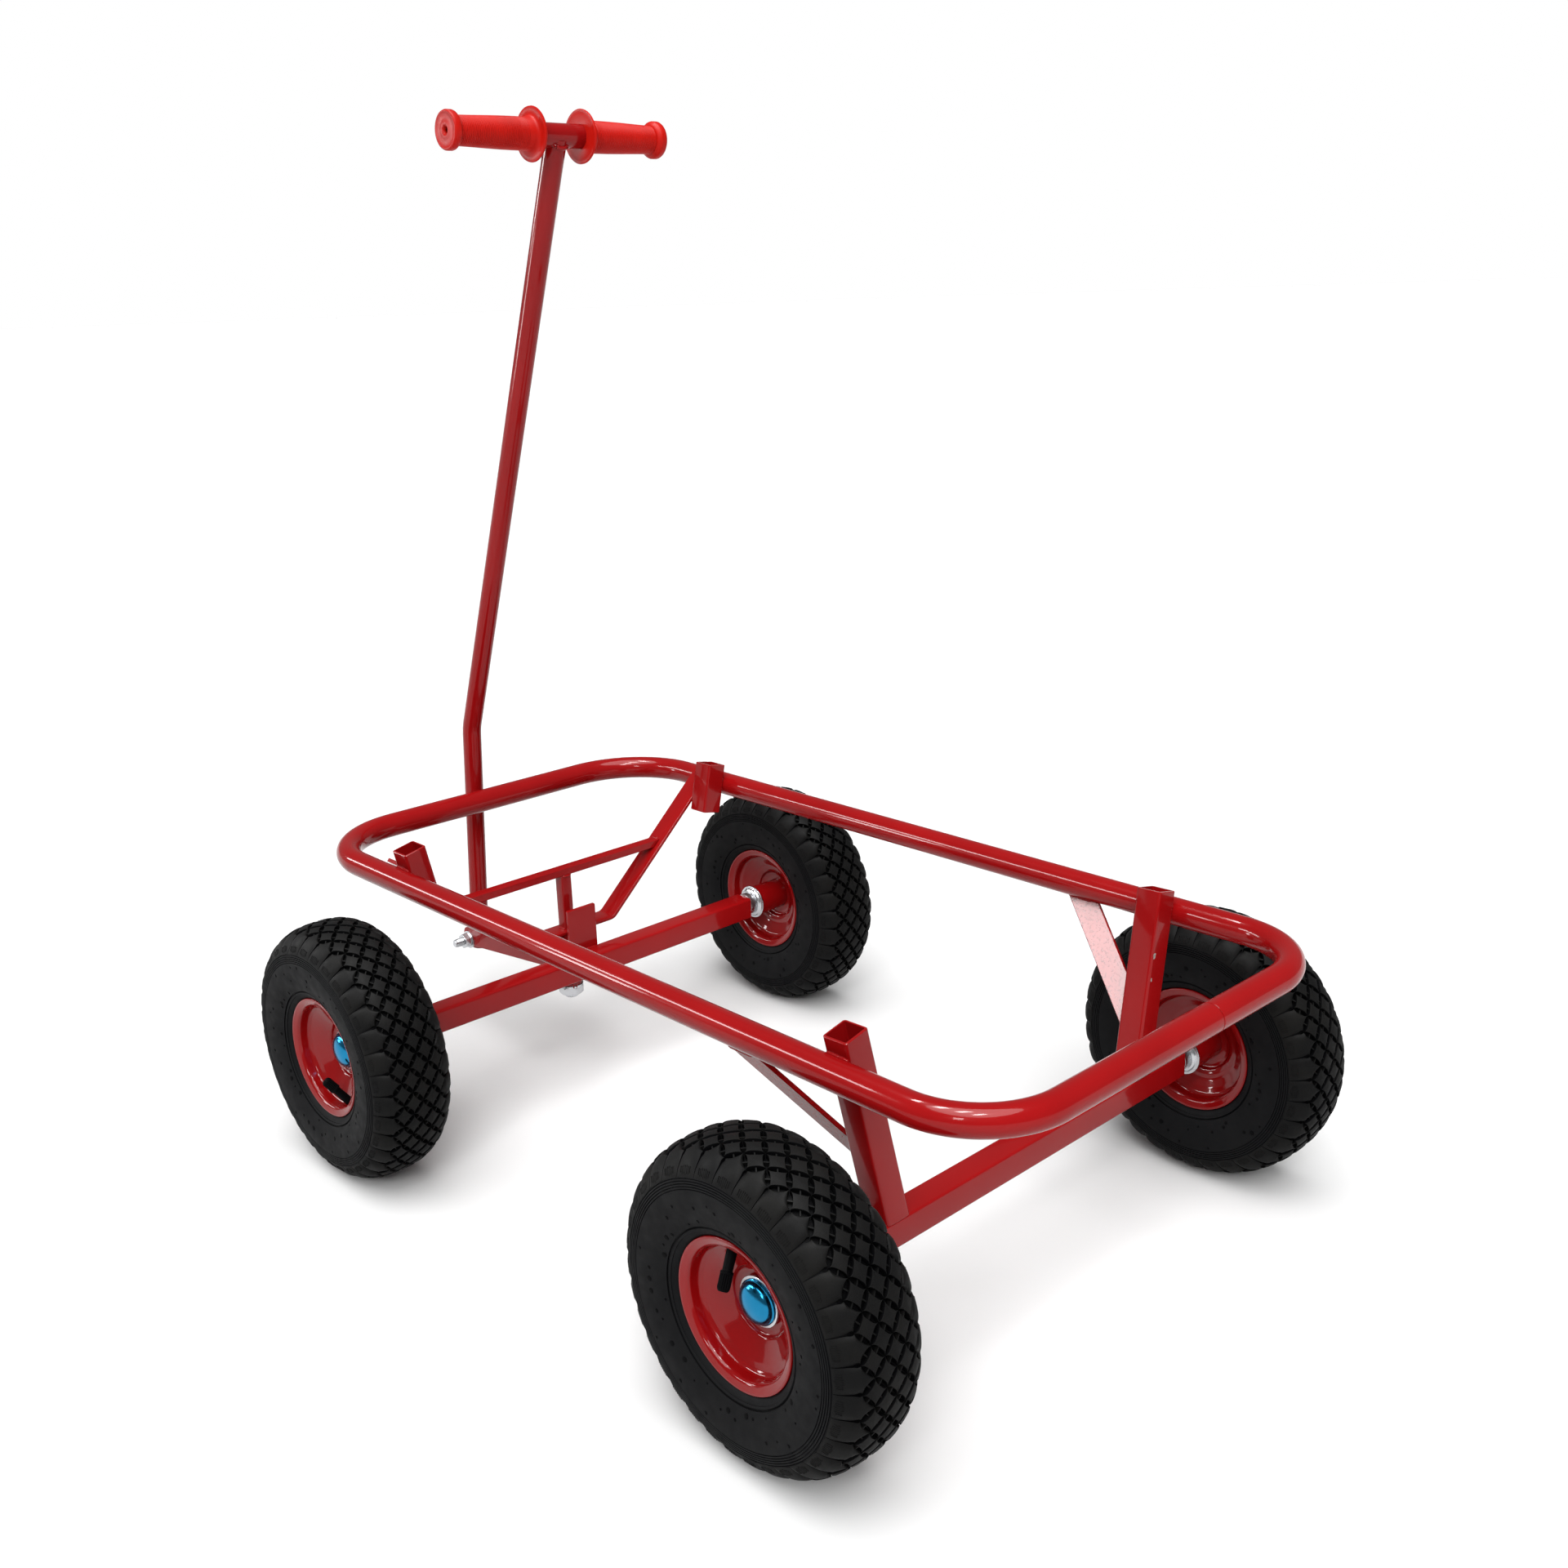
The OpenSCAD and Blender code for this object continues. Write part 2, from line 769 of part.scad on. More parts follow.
module hub_rl() {
    hub(x_rear);
}

module bearings_rl() {
    bearings(x_rear);
}

module valve_rl() {
    valve(x_rear, valve_rl);
}

module tyre_rr() {
    mirror([0, 1, 0]) tyre(x_rear);
}

module rim_outer_rr() {
    mirror([0, 1, 0]) rim_outer(x_rear);
}

module rim_inner_rr() {
    mirror([0, 1, 0]) rim_inner(x_rear);
}

module hub_rr() {
    mirror([0, 1, 0]) hub(x_rear);
}

module bearings_rr() {
    mirror([0, 1, 0]) bearings(x_rear);
}

module valve_rr() {
    mirror([0, 1, 0]) valve(x_rear, valve_rr);
}

module tyre_fl() {
    tyre(x_front);
}

module rim_outer_fl() {
    rim_outer(x_front);
}

module rim_inner_fl() {
    rim_inner(x_front);
}

module hub_fl() {
    hub(x_front);
}

module bearings_fl() {
    bearings(x_front);
}

module valve_fl() {
    valve(x_front, valve_fl);
}

module tyre_fr() {
    mirror([0, 1, 0]) tyre(x_front);
}

module rim_outer_fr() {
    mirror([0, 1, 0]) rim_outer(x_front);
}

module rim_inner_fr() {
    mirror([0, 1, 0]) rim_inner(x_front);
}

module hub_fr() {
    mirror([0, 1, 0]) hub(x_front);
}

module bearings_fr() {
    mirror([0, 1, 0]) bearings(x_front);
}

module valve_fr() {
    mirror([0, 1, 0]) valve(x_front, valve_fr);
}

// ---------------------------------------------------------------- nodes

top_rail();
rail_joint_sleeve();
rear_post_left();
rear_post_right();
front_socket_left();
front_socket_right();
rear_brace_left();
rear_brace_right();
rear_axle_beam();
rear_axle_stubs();
rear_washers();
rear_caps();
front_hanger();
front_cross_bar();
hanger_strut();
kingpin();
kingpin_washer();
kingpin_nut();
front_axle_beam();
front_axle_stubs();
front_washers();
front_caps();
steering_boss();
stop_plate();
tongue_plate_left();
tongue_plate_right();
tongue_web();
pivot_bolt();
pivot_washers();
pivot_nut();
handle_tube();
handle_crossbar();
grip_left();
grip_right();
tyre_rl();
rim_outer_rl();
rim_inner_rl();
hub_rl();
bearings_rl();
valve_rl();
tyre_rr();
rim_outer_rr();
rim_inner_rr();
hub_rr();
bearings_rr();
valve_rr();
tyre_fl();
rim_outer_fl();
rim_inner_fl();
hub_fl();
bearings_fl();
valve_fl();
tyre_fr();
rim_outer_fr();
rim_inner_fr();
hub_fr();
bearings_fr();
valve_fr();
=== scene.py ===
"""Looks for the pull wagon chassis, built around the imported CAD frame.

Shapes are worked out in millimetres in the frame's own axes (+X forward,
+Y left, +Z up) and scaled to metres when a mesh is made.
"""

import math
import random

import bmesh
import bpy
from mathutils import Matrix, Vector


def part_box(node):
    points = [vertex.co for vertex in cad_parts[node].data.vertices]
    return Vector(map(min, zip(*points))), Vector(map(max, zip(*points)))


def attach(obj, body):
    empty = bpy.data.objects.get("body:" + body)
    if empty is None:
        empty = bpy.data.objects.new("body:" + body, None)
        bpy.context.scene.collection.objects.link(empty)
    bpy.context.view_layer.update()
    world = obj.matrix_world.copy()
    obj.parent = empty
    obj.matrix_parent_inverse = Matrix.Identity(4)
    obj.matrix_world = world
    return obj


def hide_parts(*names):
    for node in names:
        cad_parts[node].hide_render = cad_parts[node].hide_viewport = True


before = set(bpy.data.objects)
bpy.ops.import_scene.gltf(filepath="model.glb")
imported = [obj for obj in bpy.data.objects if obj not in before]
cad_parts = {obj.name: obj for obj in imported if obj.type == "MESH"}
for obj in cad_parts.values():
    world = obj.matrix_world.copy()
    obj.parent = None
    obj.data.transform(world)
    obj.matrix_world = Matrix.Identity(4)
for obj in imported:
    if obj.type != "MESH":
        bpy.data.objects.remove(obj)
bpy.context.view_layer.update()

MM = 0.001
WHEELS = ("rl", "rr", "fl", "fr")
SIDES = (("left", 1), ("right", -1))


# ------------ measures

def box(node):
    """Lowest and highest corner of a CAD node, in millimetres."""
    lo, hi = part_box(node)
    return lo / MM, hi / MM


def mid(node):
    """Middle of a CAD node's box, in millimetres."""
    lo, hi = box(node)
    return (lo + hi) / 2


AXLE_Z = mid("tyre_rl").z
TYRE_R = box("tyre_rl")[1].z - AXLE_Z
TRACK = mid("tyre_rl").y
X_REAR = mid("rear_axle_beam").x
X_FRONT = mid("front_axle_beam").x
BEAM_LO, BEAM_HI = box("rear_axle_beam")
BEAM_Z = (BEAM_LO.z + BEAM_HI.z) / 2
BEAM_TOP = BEAM_HI.z
BEAM_SIDE = BEAM_HI.z - BEAM_LO.z
BEAM_HALF = BEAM_HI.y
RAIL_LO, RAIL_HI = box("top_rail")
RAIL_Z = (RAIL_LO.z + RAIL_HI.z) / 2
RAIL_R = (RAIL_HI.z - RAIL_LO.z) / 2
RAIL_HALF = RAIL_HI.y - RAIL_R
RAIL_FRONT_BEND = 92        # radius of the rail's centre line at its front corners
RAIL_REAR_BEND = 76
SEAM_Y = mid("rail_joint_sleeve").y
PIVOT = mid("pivot_washers")
BAR = mid("handle_crossbar")
BAR_R = (box("handle_crossbar")[1].z - box("handle_crossbar")[0].z) / 2
BAR_HALF = box("handle_crossbar")[1].y
PIN_X = mid("kingpin").x
WALL = 2.0                  # of the square tubes and the rail
HANDLE_WALL = 1.8
POST_LEAN, POST_RAKE = 12.4, 2.0
POST_TOP, POST_FOOT_Y = 308, 163.44
SOCKET_LEAN, SOCKET_LEN, SOCKET_TOP = 12.0, 56, 311
SOCKET_X = mid("front_socket_left").x
SOCKET_Y = (RAIL_HALF - (RAIL_R + BEAM_SIDE / 2 - 0.5)
            / math.cos(math.radians(SOCKET_LEAN)))


# ------------ 2-D outlines

def arc(cx, cy, r, a0, a1, n):
    """n + 1 points on a circle, from angle a0 to a1 in degrees."""
    out = []
    for i in range(n + 1):
        a = math.radians(a0 + (a1 - a0) * i / n)
        out.append((cx + r * math.cos(a), cy + r * math.sin(a)))
    return out


def fillet(points, radii, n=4, closed=True):
    """Rounds each corner of a polyline; radii is one number or a list."""
    count = len(points)
    if not hasattr(radii, "__len__"):
        radii = [radii] * count
    out = []
    for i, (point, radius) in enumerate(zip(points, radii)):
        p = Vector(point)
        if radius <= 0 or (not closed and i in (0, count - 1)):
            out.append(tuple(p))
            continue
        a = Vector(points[i - 1]) - p
        b = Vector(points[(i + 1) % count]) - p
        half = a.angle(b) / 2
        if half > math.radians(89):
            out.append(tuple(p))
            continue
        cut = min(radius / math.tan(half), a.length * 0.48, b.length * 0.48)
        start = p + a.normalized() * cut
        end = p + b.normalized() * cut
        for j in range(n + 1):
            t = j / n
            q = start.lerp(p, t).lerp(p.lerp(end, t), t)
            out.append(tuple(q))
    return out


def circle(r, n=48):
    return arc(0, 0, r, 0, 360 - 360 / n, n - 1)


def soft_bar(w, h, r, n=3):
    """A rectangle w by h with rounded corners."""
    out = []
    for sx, sy, a in ((1, 1, 0), (-1, 1, 90), (-1, -1, 180), (1, -1, 270)):
        out += arc(sx * (w / 2 - r), sy * (h / 2 - r), r, a, a + 90, n)
    return out


def rounded_square(side, r, n=5):
    return soft_bar(side, side, r, n)


def signed_area(points):
    """Area of an outline, positive when it runs anticlockwise."""
    total = 0
    for (x0, y0), (x1, y1) in zip(points, points[1:] + points[:1]):
        total += x0 * y1 - x1 * y0
    return total / 2


def inset(points, d):
    """Moves an outline inwards by d."""
    sign = 1 if signed_area(points) > 0 else -1
    out = []
    count = len(points)
    for i in range(count):
        p = Vector(points[i])
        a = (p - Vector(points[i - 1])).normalized()
        b = (Vector(points[(i + 1) % count]) - p).normalized()
        na = Vector((-a.y, a.x)) * sign
        nb = Vector((-b.y, b.x)) * sign
        n = (na + nb).normalized()
        out.append(tuple(p + n * d / max(n.dot(na), 0.3)))
    return out


# ------------ mesh making

class Shape:
    """Vertices and faces in millimetres; dark faces take the piece's second material, which
    paints shade into the tyre's grooves.
    """

    def __init__(self):
        self.verts = []
        self.faces = []
        self.dark = set()

    def rings(self, rings, loop=False, caps=True):
        """Skins closed rings of equal length, one after the other."""
        base = len(self.verts)
        n = len(rings[0])
        count = len(rings)
        for ring in rings:
            self.verts += [Vector(p) for p in ring]
        for i in range(count if loop else count - 1):
            a = base + i * n
            b = base + (i + 1) % count * n
            for j in range(n):
                k = (j + 1) % n
                self.faces.append((a + j, a + k, b + k, b + j))
        if caps and not loop:
            self.faces.append(tuple(range(base + n - 1, base - 1, -1)))
            self.faces.append(tuple(range(base + (count - 1) * n, base + count * n)))
        return self

    def lathe(self, profile, n=96):
        """Turns a closed (radius, height) profile about Z."""
        turned = []
        for i in range(n):
            a = 2 * math.pi * i / n
            turned.append([(r * math.cos(a), r * math.sin(a), z) for r, z in profile])
        return self.rings(turned, loop=True)

    def plate(self, outline, t, bevel=0.6):
        """A bevelled plate on Z = 0 .. t."""
        small = inset(outline, bevel)
        layers = ((small, 0), (outline, bevel), (outline, t - bevel), (small, t))
        return self.rings([[(x, y, z) for x, y in ring] for ring, z in layers])

    def square_tube(self, side, z0, z1, r=2.6, edge=0.5):
        """A square tube along Z with rounded corners, open at both ends."""
        outer = rounded_square(side, r)
        small = rounded_square(side - 2 * edge, r - edge * 0.4)
        inner = rounded_square(side - 2 * WALL, 0.8)
        layers = ((small, z0), (outer, z0 + edge), (outer, z1 - edge), (small, z1),
                  (inner, z1), (inner, z0))
        return self.rings([[(x, y, z) for x, y in ring] for ring, z in layers], loop=True)

    def sweep(self, path, normal, sections, caps=True):
        """Carries one 2-D section, or one per point, along a flat path with that normal."""
        normal = Vector(normal)
        path = [Vector(p) for p in path]
        count = len(path)
        rings = []
        for i, p in enumerate(path):
            before = path[max(i - 1, 0)]
            after = path[min(i + 1, count - 1)]
            side = (after - before).normalized().cross(normal)
            section = sections[i] if isinstance(sections[0], list) else sections
            rings.append([p + side * u + normal * v for u, v in section])
        return self.rings(rings, caps=caps)

    def moved(self, place):
        self.verts = [place @ v for v in self.verts]
        return self

    def add(self, other):
        """Takes in a copy of another shape."""
        base = len(self.verts)
        self.dark |= {i + len(self.faces) for i in other.dark}
        self.verts += other.verts
        self.faces += [tuple(i + base for i in f) for f in other.faces]
        return self

    def mesh(self, name, sharp=32):
        """A smooth-shaded mesh in metres; edges over that many degrees stay sharp."""
        mesh = bpy.data.meshes.new(name)
        mesh.from_pydata([tuple(v * MM) for v in self.verts], [], self.faces)
        # Faces in the dark set take slot 1: painted shade in the tyre's grooves.
        for i in self.dark:
            mesh.polygons[i].material_index = 1
        bm = bmesh.new()
        bm.from_mesh(mesh)
        bmesh.ops.remove_doubles(bm, verts=bm.verts, dist=2e-6)
        bmesh.ops.dissolve_degenerate(bm, edges=bm.edges, dist=1e-7)
        bmesh.ops.triangulate(bm, faces=[f for f in bm.faces if len(f.verts) > 4],
                              ngon_method="EAR_CLIP")
        bmesh.ops.recalc_face_normals(bm, faces=bm.faces)
        for face in bm.faces:
            face.smooth = True
        for edge in bm.edges:
            if len(edge.link_faces) == 2:
                edge.smooth = edge.calc_face_angle() < math.radians(sharp)
        bm.to_mesh(mesh)
        bm.free()
        return mesh


def piece(name, shape, mat, body, stands_for=(), sharp=32):
    """Makes a shape into a piece on a body."""
    obj = bpy.data.objects.new(name, shape.mesh(name, sharp))
    bpy.context.scene.collection.objects.link(obj)
    obj.data.materials.append(mat)
    # The second material is the darker rubber, painted on groove faces as painted shade.
    if shape.dark:
        obj.data.materials.append(RUBBER_AND_GROOVE_SHADE)
    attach(obj, body)
    if stands_for:
        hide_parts(*stands_for)
    return obj


def turn(x=0, y=0, z=0):
    """Rotation about X, then Y, then Z, in degrees."""
    return (Matrix.Rotation(math.radians(z), 4, "Z") @ Matrix.Rotation(math.radians(y), 4, "Y")
            @ Matrix.Rotation(math.radians(x), 4, "X"))


def shift(x=0, y=0, z=0):
    return Matrix.Translation((x, y, z))


MIRROR = Matrix.Scale(-1, 4, (0, 1, 0))


# ------------ materials

class Paint:
    """A node material, with short calls for the nodes it is made of."""

    def __init__(self, name, roughness=0.5, metallic=0.0, **sockets):
        self.mat = bpy.data.materials.new(name)
        self.mat.use_nodes = True
        self.tree = self.mat.node_tree
        self.bsdf = self.tree.nodes["Principled BSDF"]
        self.bsdf.inputs["Roughness"].default_value = roughness
        self.bsdf.inputs["Metallic"].default_value = metallic
        for socket, value in sockets.items():
            self.bsdf.inputs[socket.replace("_", " ")].default_value = value
        self.coord = self.tree.nodes.new("ShaderNodeTexCoord").outputs["Object"]

    def node(self, kind, **values):
        n = self.tree.nodes.new(kind)
        for socket, value in values.items():
            self.put(n.inputs[socket], value)
        return n

    def put(self, socket, value):
        """Links another node's output, or sets a plain value."""
        if isinstance(value, bpy.types.NodeSocket):
            self.tree.links.new(value, socket)
        else:
            socket.default_value = value

    def noise(self, scale, detail=2.0, rough=0.5):
        return self.node("ShaderNodeTexNoise", Vector=self.coord, Scale=scale,
                         Detail=detail, Roughness=rough).outputs["Fac"]

    def ramp(self, value, lo, hi, out_lo=0.0, out_hi=1.0):
        """Maps lo .. hi to out_lo .. out_hi, clamped."""
        n = self.tree.nodes.new("ShaderNodeMapRange")
        for socket, v in zip(n.inputs, (value, lo, hi, out_lo, out_hi)):
            self.put(socket, v)
        return n.outputs[0]

    def mix(self, fac, a, b):
        """A blend of two colours; 6, 7 and 2 are the node's colour sockets."""
        n = self.tree.nodes.new("ShaderNodeMix")
        n.data_type = "RGBA"
        self.put(n.inputs["Factor"], fac)
        self.put(n.inputs[6], (*a, 1))
        self.put(n.inputs[7], (*b, 1))
        return n.outputs[2]

    def colour(self, value):
        self.put(self.bsdf.inputs["Base Color"], value)

    def rough(self, value):
        self.put(self.bsdf.inputs["Roughness"], value)

    def bump(self, height, strength, distance, after=None):
        """Bump in metres, on top of an earlier bump where one is given."""
        n = self.node("ShaderNodeBump", Height=height, Strength=strength, Distance=distance)
        if after:
            self.put(n.inputs["Normal"], after)
        self.put(self.bsdf.inputs["Normal"], n.outputs[0])
        return n.outputs[0]


def powder_coat(name, deep, light, rough=0.22, coat=0.34, peel=0.008, pits=0.0):
    """Glossy powder coat with slight orange peel and uneven depth of colour."""
    p = Paint(name, Coat_Weight=coat, Coat_Roughness=0.05, Specular_IOR_Level=0.05)
    p.colour(p.mix(p.ramp(p.noise(7.0, 3.0), 0.35, 0.65), deep, light))
    p.rough(p.ramp(p.noise(60.0, 3.0), 0.3, 0.7, rough - 0.02, rough + 0.03))
    fine = p.bump(p.noise(520.0, 2.0), peel, 0.0006)
    fine = p.bump(p.noise(36.0, 2.0), peel * 0.6, 0.004, fine)
    if pits:
        p.bump(p.ramp(p.noise(420.0, 3.0, 0.7), 0.56, 0.66, 1.0, 0.0), pits, 0.0008, fine)
    return p.mat


def primer(name, dark, pale):
    """Bare metal and primer where the coat has come off."""
    p = Paint(name, roughness=0.6, metallic=0.3)
    p.colour(p.mix(p.ramp(p.noise(600.0, 3.0), 0.4, 0.6), dark, pale))
    return p.mat


def rubber(name, base, dusty, rough=0.62, grain=0.12, gloss=0.08):
    """Matt rubber with patches of dust and a fine grain."""
    p = Paint(name, Specular_IOR_Level=gloss)
    p.colour(p.mix(p.ramp(p.noise(22.0, 4.0, 0.6), 0.4, 0.75), base, dusty))
    p.rough(p.ramp(p.noise(90.0, 3.0), 0.3, 0.7, rough - 0.07, rough + 0.08))
    p.bump(p.noise(1400.0, 3.0, 0.6), grain, 0.0005)
    return p.mat


def plated(name, base, rough):
    """Zinc plate: bright metal with faint cloudy patches and fine scratches."""
    p = Paint(name, metallic=1.0)
    cloud = p.noise(45.0, 4.0, 0.6)
    p.colour(p.mix(p.ramp(cloud, 0.3, 0.7), tuple(c * 0.82 for c in base), base))
    p.rough(p.ramp(cloud, 0.3, 0.7, rough * 1.4, rough * 0.8))
    p.bump(p.noise(900.0, 3.0), 0.06, 0.0003)
    return p.mat


def moulded(name, deep, light):
    """Soft moulded PVC with a satin skin."""
    p = Paint(name, Specular_IOR_Level=0.1)
    p.colour(p.mix(p.ramp(p.noise(30.0, 3.0), 0.35, 0.65), deep, light))
    p.rough(p.ramp(p.noise(150.0, 3.0), 0.3, 0.7, 0.36, 0.48))
    p.bump(p.noise(1100.0, 2.0), 0.08, 0.0004)
    return p.mat


def floor_material():
    p = Paint("pale_floor", roughness=0.9, Specular_IOR_Level=0.1)
    p.colour(p.mix(p.noise(1.3, 2.0), (0.59, 0.59, 0.59), (0.61, 0.61, 0.61)))
    return p.mat


RED_TONES = (0.195, 0.0024, 0.003), (0.23, 0.0032, 0.0038)
RED = powder_coat("red_powder_coat", *RED_TONES)
RED_PITTED = powder_coat("red_pitted_coat", *RED_TONES, coat=0.5, pits=1.0)
BARE = primer("bare_primer", (0.20, 0.17, 0.16), (0.36, 0.33, 0.31))
# A darker copy of the red coat: painted shade for the rim's shadowed dish and hub.
RED_RIM_SHADED = powder_coat("red_rim_shaded_coat", (0.155, 0.0016, 0.0020), (0.185, 0.0021, 0.0026),
                      rough=0.16, coat=0.5, peel=0.006)
TYRE = rubber("black_tyre", (0.0026, 0.0027, 0.0032), (0.0040, 0.0040, 0.0043))
TREAD = rubber("dusty_tread", (0.0030, 0.0030, 0.0031), (0.0058, 0.0055, 0.0050))
# Darker rubber for the valve stems and sidewall nubs; on the tread's groove walls and floors it
# is painted shade.
RUBBER_AND_GROOVE_SHADE = rubber("black_rubber", (0.0015, 0.0015, 0.0018), (0.0025, 0.0025, 0.0026),
                rough=0.5, grain=0.05, gloss=0.03)
ZINC = plated("zinc_plate", (0.58, 0.59, 0.61), 0.24)
BLUE = plated("blue_cap_metal", (0.018, 0.22, 0.42), 0.17)
GRIP = moulded("red_grip_pvc", (0.34, 0.0045, 0.0020), (0.40, 0.0060, 0.0028))


def red(name, shape, body, *nodes):
    """A powder-coated piece that stands for those CAD nodes."""
    piece(name, shape, RED, body, nodes)


# ------------ camera and stage

CAMERA_PLACE = (-1.0922, 0.9686, 0.8261)
CAMERA_YAW, CAMERA_PITCH, CAMERA_ROLL = -42.75, -17.19, -1.90
LENS, SENSOR, LENS_SHIFT = 36.95, 36, 0.0073
NEAREST, FARTHEST = 0.02, 1000
FLOOR_HALF = 200000
BACKDROP_LIGHT, BACKDROP_SEEN = 0.24, 1.0       # what it gives off, what the camera sees


def place_camera():
    """The camera, aimed by yaw from +X, pitch and roll."""
    cam = bpy.data.objects.new("camera", bpy.data.cameras.new("camera"))
    bpy.context.scene.collection.objects.link(cam)
    yaw, pitch, roll = (math.radians(a) for a in (CAMERA_YAW, CAMERA_PITCH, CAMERA_ROLL))
    ahead = Vector((math.cos(yaw) * math.cos(pitch), math.sin(yaw) * math.cos(pitch),
                    math.sin(pitch)))
    right = Vector((math.sin(yaw), -math.cos(yaw), 0))
    up = right.cross(ahead)
    right, up = (right * math.cos(roll) + up * math.sin(roll),
                 up * math.cos(roll) - right * math.sin(roll))
    rot = Matrix((right, up, -ahead)).transposed().to_4x4()
    cam.matrix_world = Matrix.Translation(CAMERA_PLACE) @ rot
    cam.data.lens = LENS
    cam.data.sensor_width = SENSOR
    cam.data.shift_x = cam.data.shift_y = LENS_SHIFT
    cam.data.clip_start = NEAREST
    cam.data.clip_end = FARTHEST
    bpy.context.scene.camera = cam


def softbox(name, place, target, size, radiance, diffuse=False):
    """A rectangular softbox, in metres; one with diffuse off shows in gloss only."""
    light = bpy.data.lights.new(name, "AREA")
    light.shape = "RECTANGLE"
    light.size, light.size_y = size
    light.energy = radiance * math.pi * size[0] * size[1]
    obj = bpy.data.objects.new(name, light)
    bpy.context.scene.collection.objects.link(obj)
    direction = Vector(target) - Vector(place)
    obj.matrix_world = shift(*place) @ direction.to_track_quat("-Z", "Y").to_matrix().to_4x4()
    obj.visible_diffuse = diffuse


def wide_sun(name, towards, strength, angle, glossy=True):
    """A round softbox far away, so that the floor is lit evenly to the horizon."""
    light = bpy.data.lights.new(name, "SUN")
    light.energy = strength
    light.angle = math.radians(angle)
    obj = bpy.data.objects.new(name, light)
    bpy.context.scene.collection.objects.link(obj)
    obj.matrix_world = Vector(towards).to_track_quat("Z", "Y").to_matrix().to_4x4()
    obj.visible_glossy = glossy


def stage():
    """Floor, backdrop and lights."""
    shape = Shape()
    shape.verts = [Vector((FLOOR_HALF * x, FLOOR_HALF * y, 0)) for x, y in
                   ((-1, -1), (1, -1), (1, 1), (-1, 1))]
    shape.faces = [(0, 1, 2, 3)]
    obj = bpy.data.objects.new("floor", shape.mesh("floor"))
    bpy.context.scene.collection.objects.link(obj)
    obj.data.materials.append(floor_material())

    world = bpy.data.worlds.new("studio")
    bpy.context.scene.world = world
    world.use_nodes = True
    tree = world.node_tree
    background = tree.nodes["Background"]
    background.inputs["Color"].default_value = (1, 1, 1, 1)
    seen = tree.nodes.new("ShaderNodeLightPath").outputs["Is Camera Ray"]
    strength = tree.nodes.new("ShaderNodeMapRange")
    strength.inputs["To Min"].default_value = BACKDROP_LIGHT
    strength.inputs["To Max"].default_value = BACKDROP_SEEN
    tree.links.new(seen, strength.inputs["Value"])
    tree.links.new(strength.outputs[0], background.inputs["Strength"])
    wide_sun("overhead", (-0.15, 0.2, 1), 4.2, 55)
    wide_sun("key", (-1.0, 0.9, 1.1), 2.0, 30, glossy=False)
    softbox("window", (-1.6, 2.9, 2.2), (-0.2, 0.2, 0.15), (0.5, 0.7), 20, diffuse=True)
    softbox("strip", (1.9, 1.25, 1.15), (1.9, 0.0, 0.3), (2.6, 0.22), 26)
    softbox("side_window", (1.65, 1.70, 0.65), (0, 0.3, 0.1), (0.25, 0.35), 28)
    for x in (-1.1, -0.5, 0.1, 0.7):
        softbox("lamp", (x, 0.5 - 0.3 * x, 2.4), (x, 0, 0), (0.2, 0.45), 55)
    bpy.context.scene.view_settings.view_transform = "Standard"


# ------------ rail and posts

JOINT_GAP = 0.35            # from the middle of the butt joint to each end of the tube
END_CHAMFER = 0.5


def rail():
    """The bent ring, one tube whose ends butt together at the rear."""
    x0, x1 = RAIL_LO.x + RAIL_R, RAIL_HI.x - RAIL_R
    half, rf, rr = RAIL_HALF, RAIL_FRONT_BEND, RAIL_REAR_BEND
    steps = 28
    start, end = SEAM_Y + JOINT_GAP, SEAM_Y - JOINT_GAP
    run = [(x0, start), (x0, start + END_CHAMFER)]
    run += arc(x0 + rr, half - rr, rr, 180, 90, steps)
    run += arc(x1 - rf, half - rf, rf, 90, 0, steps)
    run += arc(x1 - rf, rf - half, rf, 0, -90, steps)
    run += arc(x0 + rr, rr - half, rr, -90, -180, steps)
    run += [(x0, end - END_CHAMFER), (x0, end)]
    count = len(run)
    soft = RAIL_R - END_CHAMFER
    outside = [soft] + [RAIL_R] * (count - 2) + [soft]
    inside = [RAIL_R - WALL] * count
    rings = []
    for k, r in list(enumerate(outside)) + list(enumerate(inside))[::-1]:
        x, y = run[k]
        a = Vector(run[max(k - 1, 0)])
        b = Vector(run[min(k + 1, count - 1)])
        t = (b - a).normalized()
        rings.append([(x + t.y * u, y - t.x * u, RAIL_Z + v) for u, v in circle(r, 64)])
    red("rail_ring", Shape().rings(rings, loop=True), "chassis", "top_rail")


def both(name, shape, mat, node, place):
    """A left-hand piece of the chassis and its mirror image on the right."""
    for side, sign in SIDES:
        copy = Shape().add(shape).moved(place)
        if sign < 0:
            copy.moved(MIRROR)
        piece(f"{name}_{side}", copy, mat, "chassis", [f"{node}_{side}"])


POST_PLACE = shift(X_REAR, POST_FOOT_Y, BEAM_TOP) @ turn(-POST_LEAN, POST_RAKE)
FOOT_DEPTH = 0.3            # how far a post's cut foot sinks below the axle tube's top


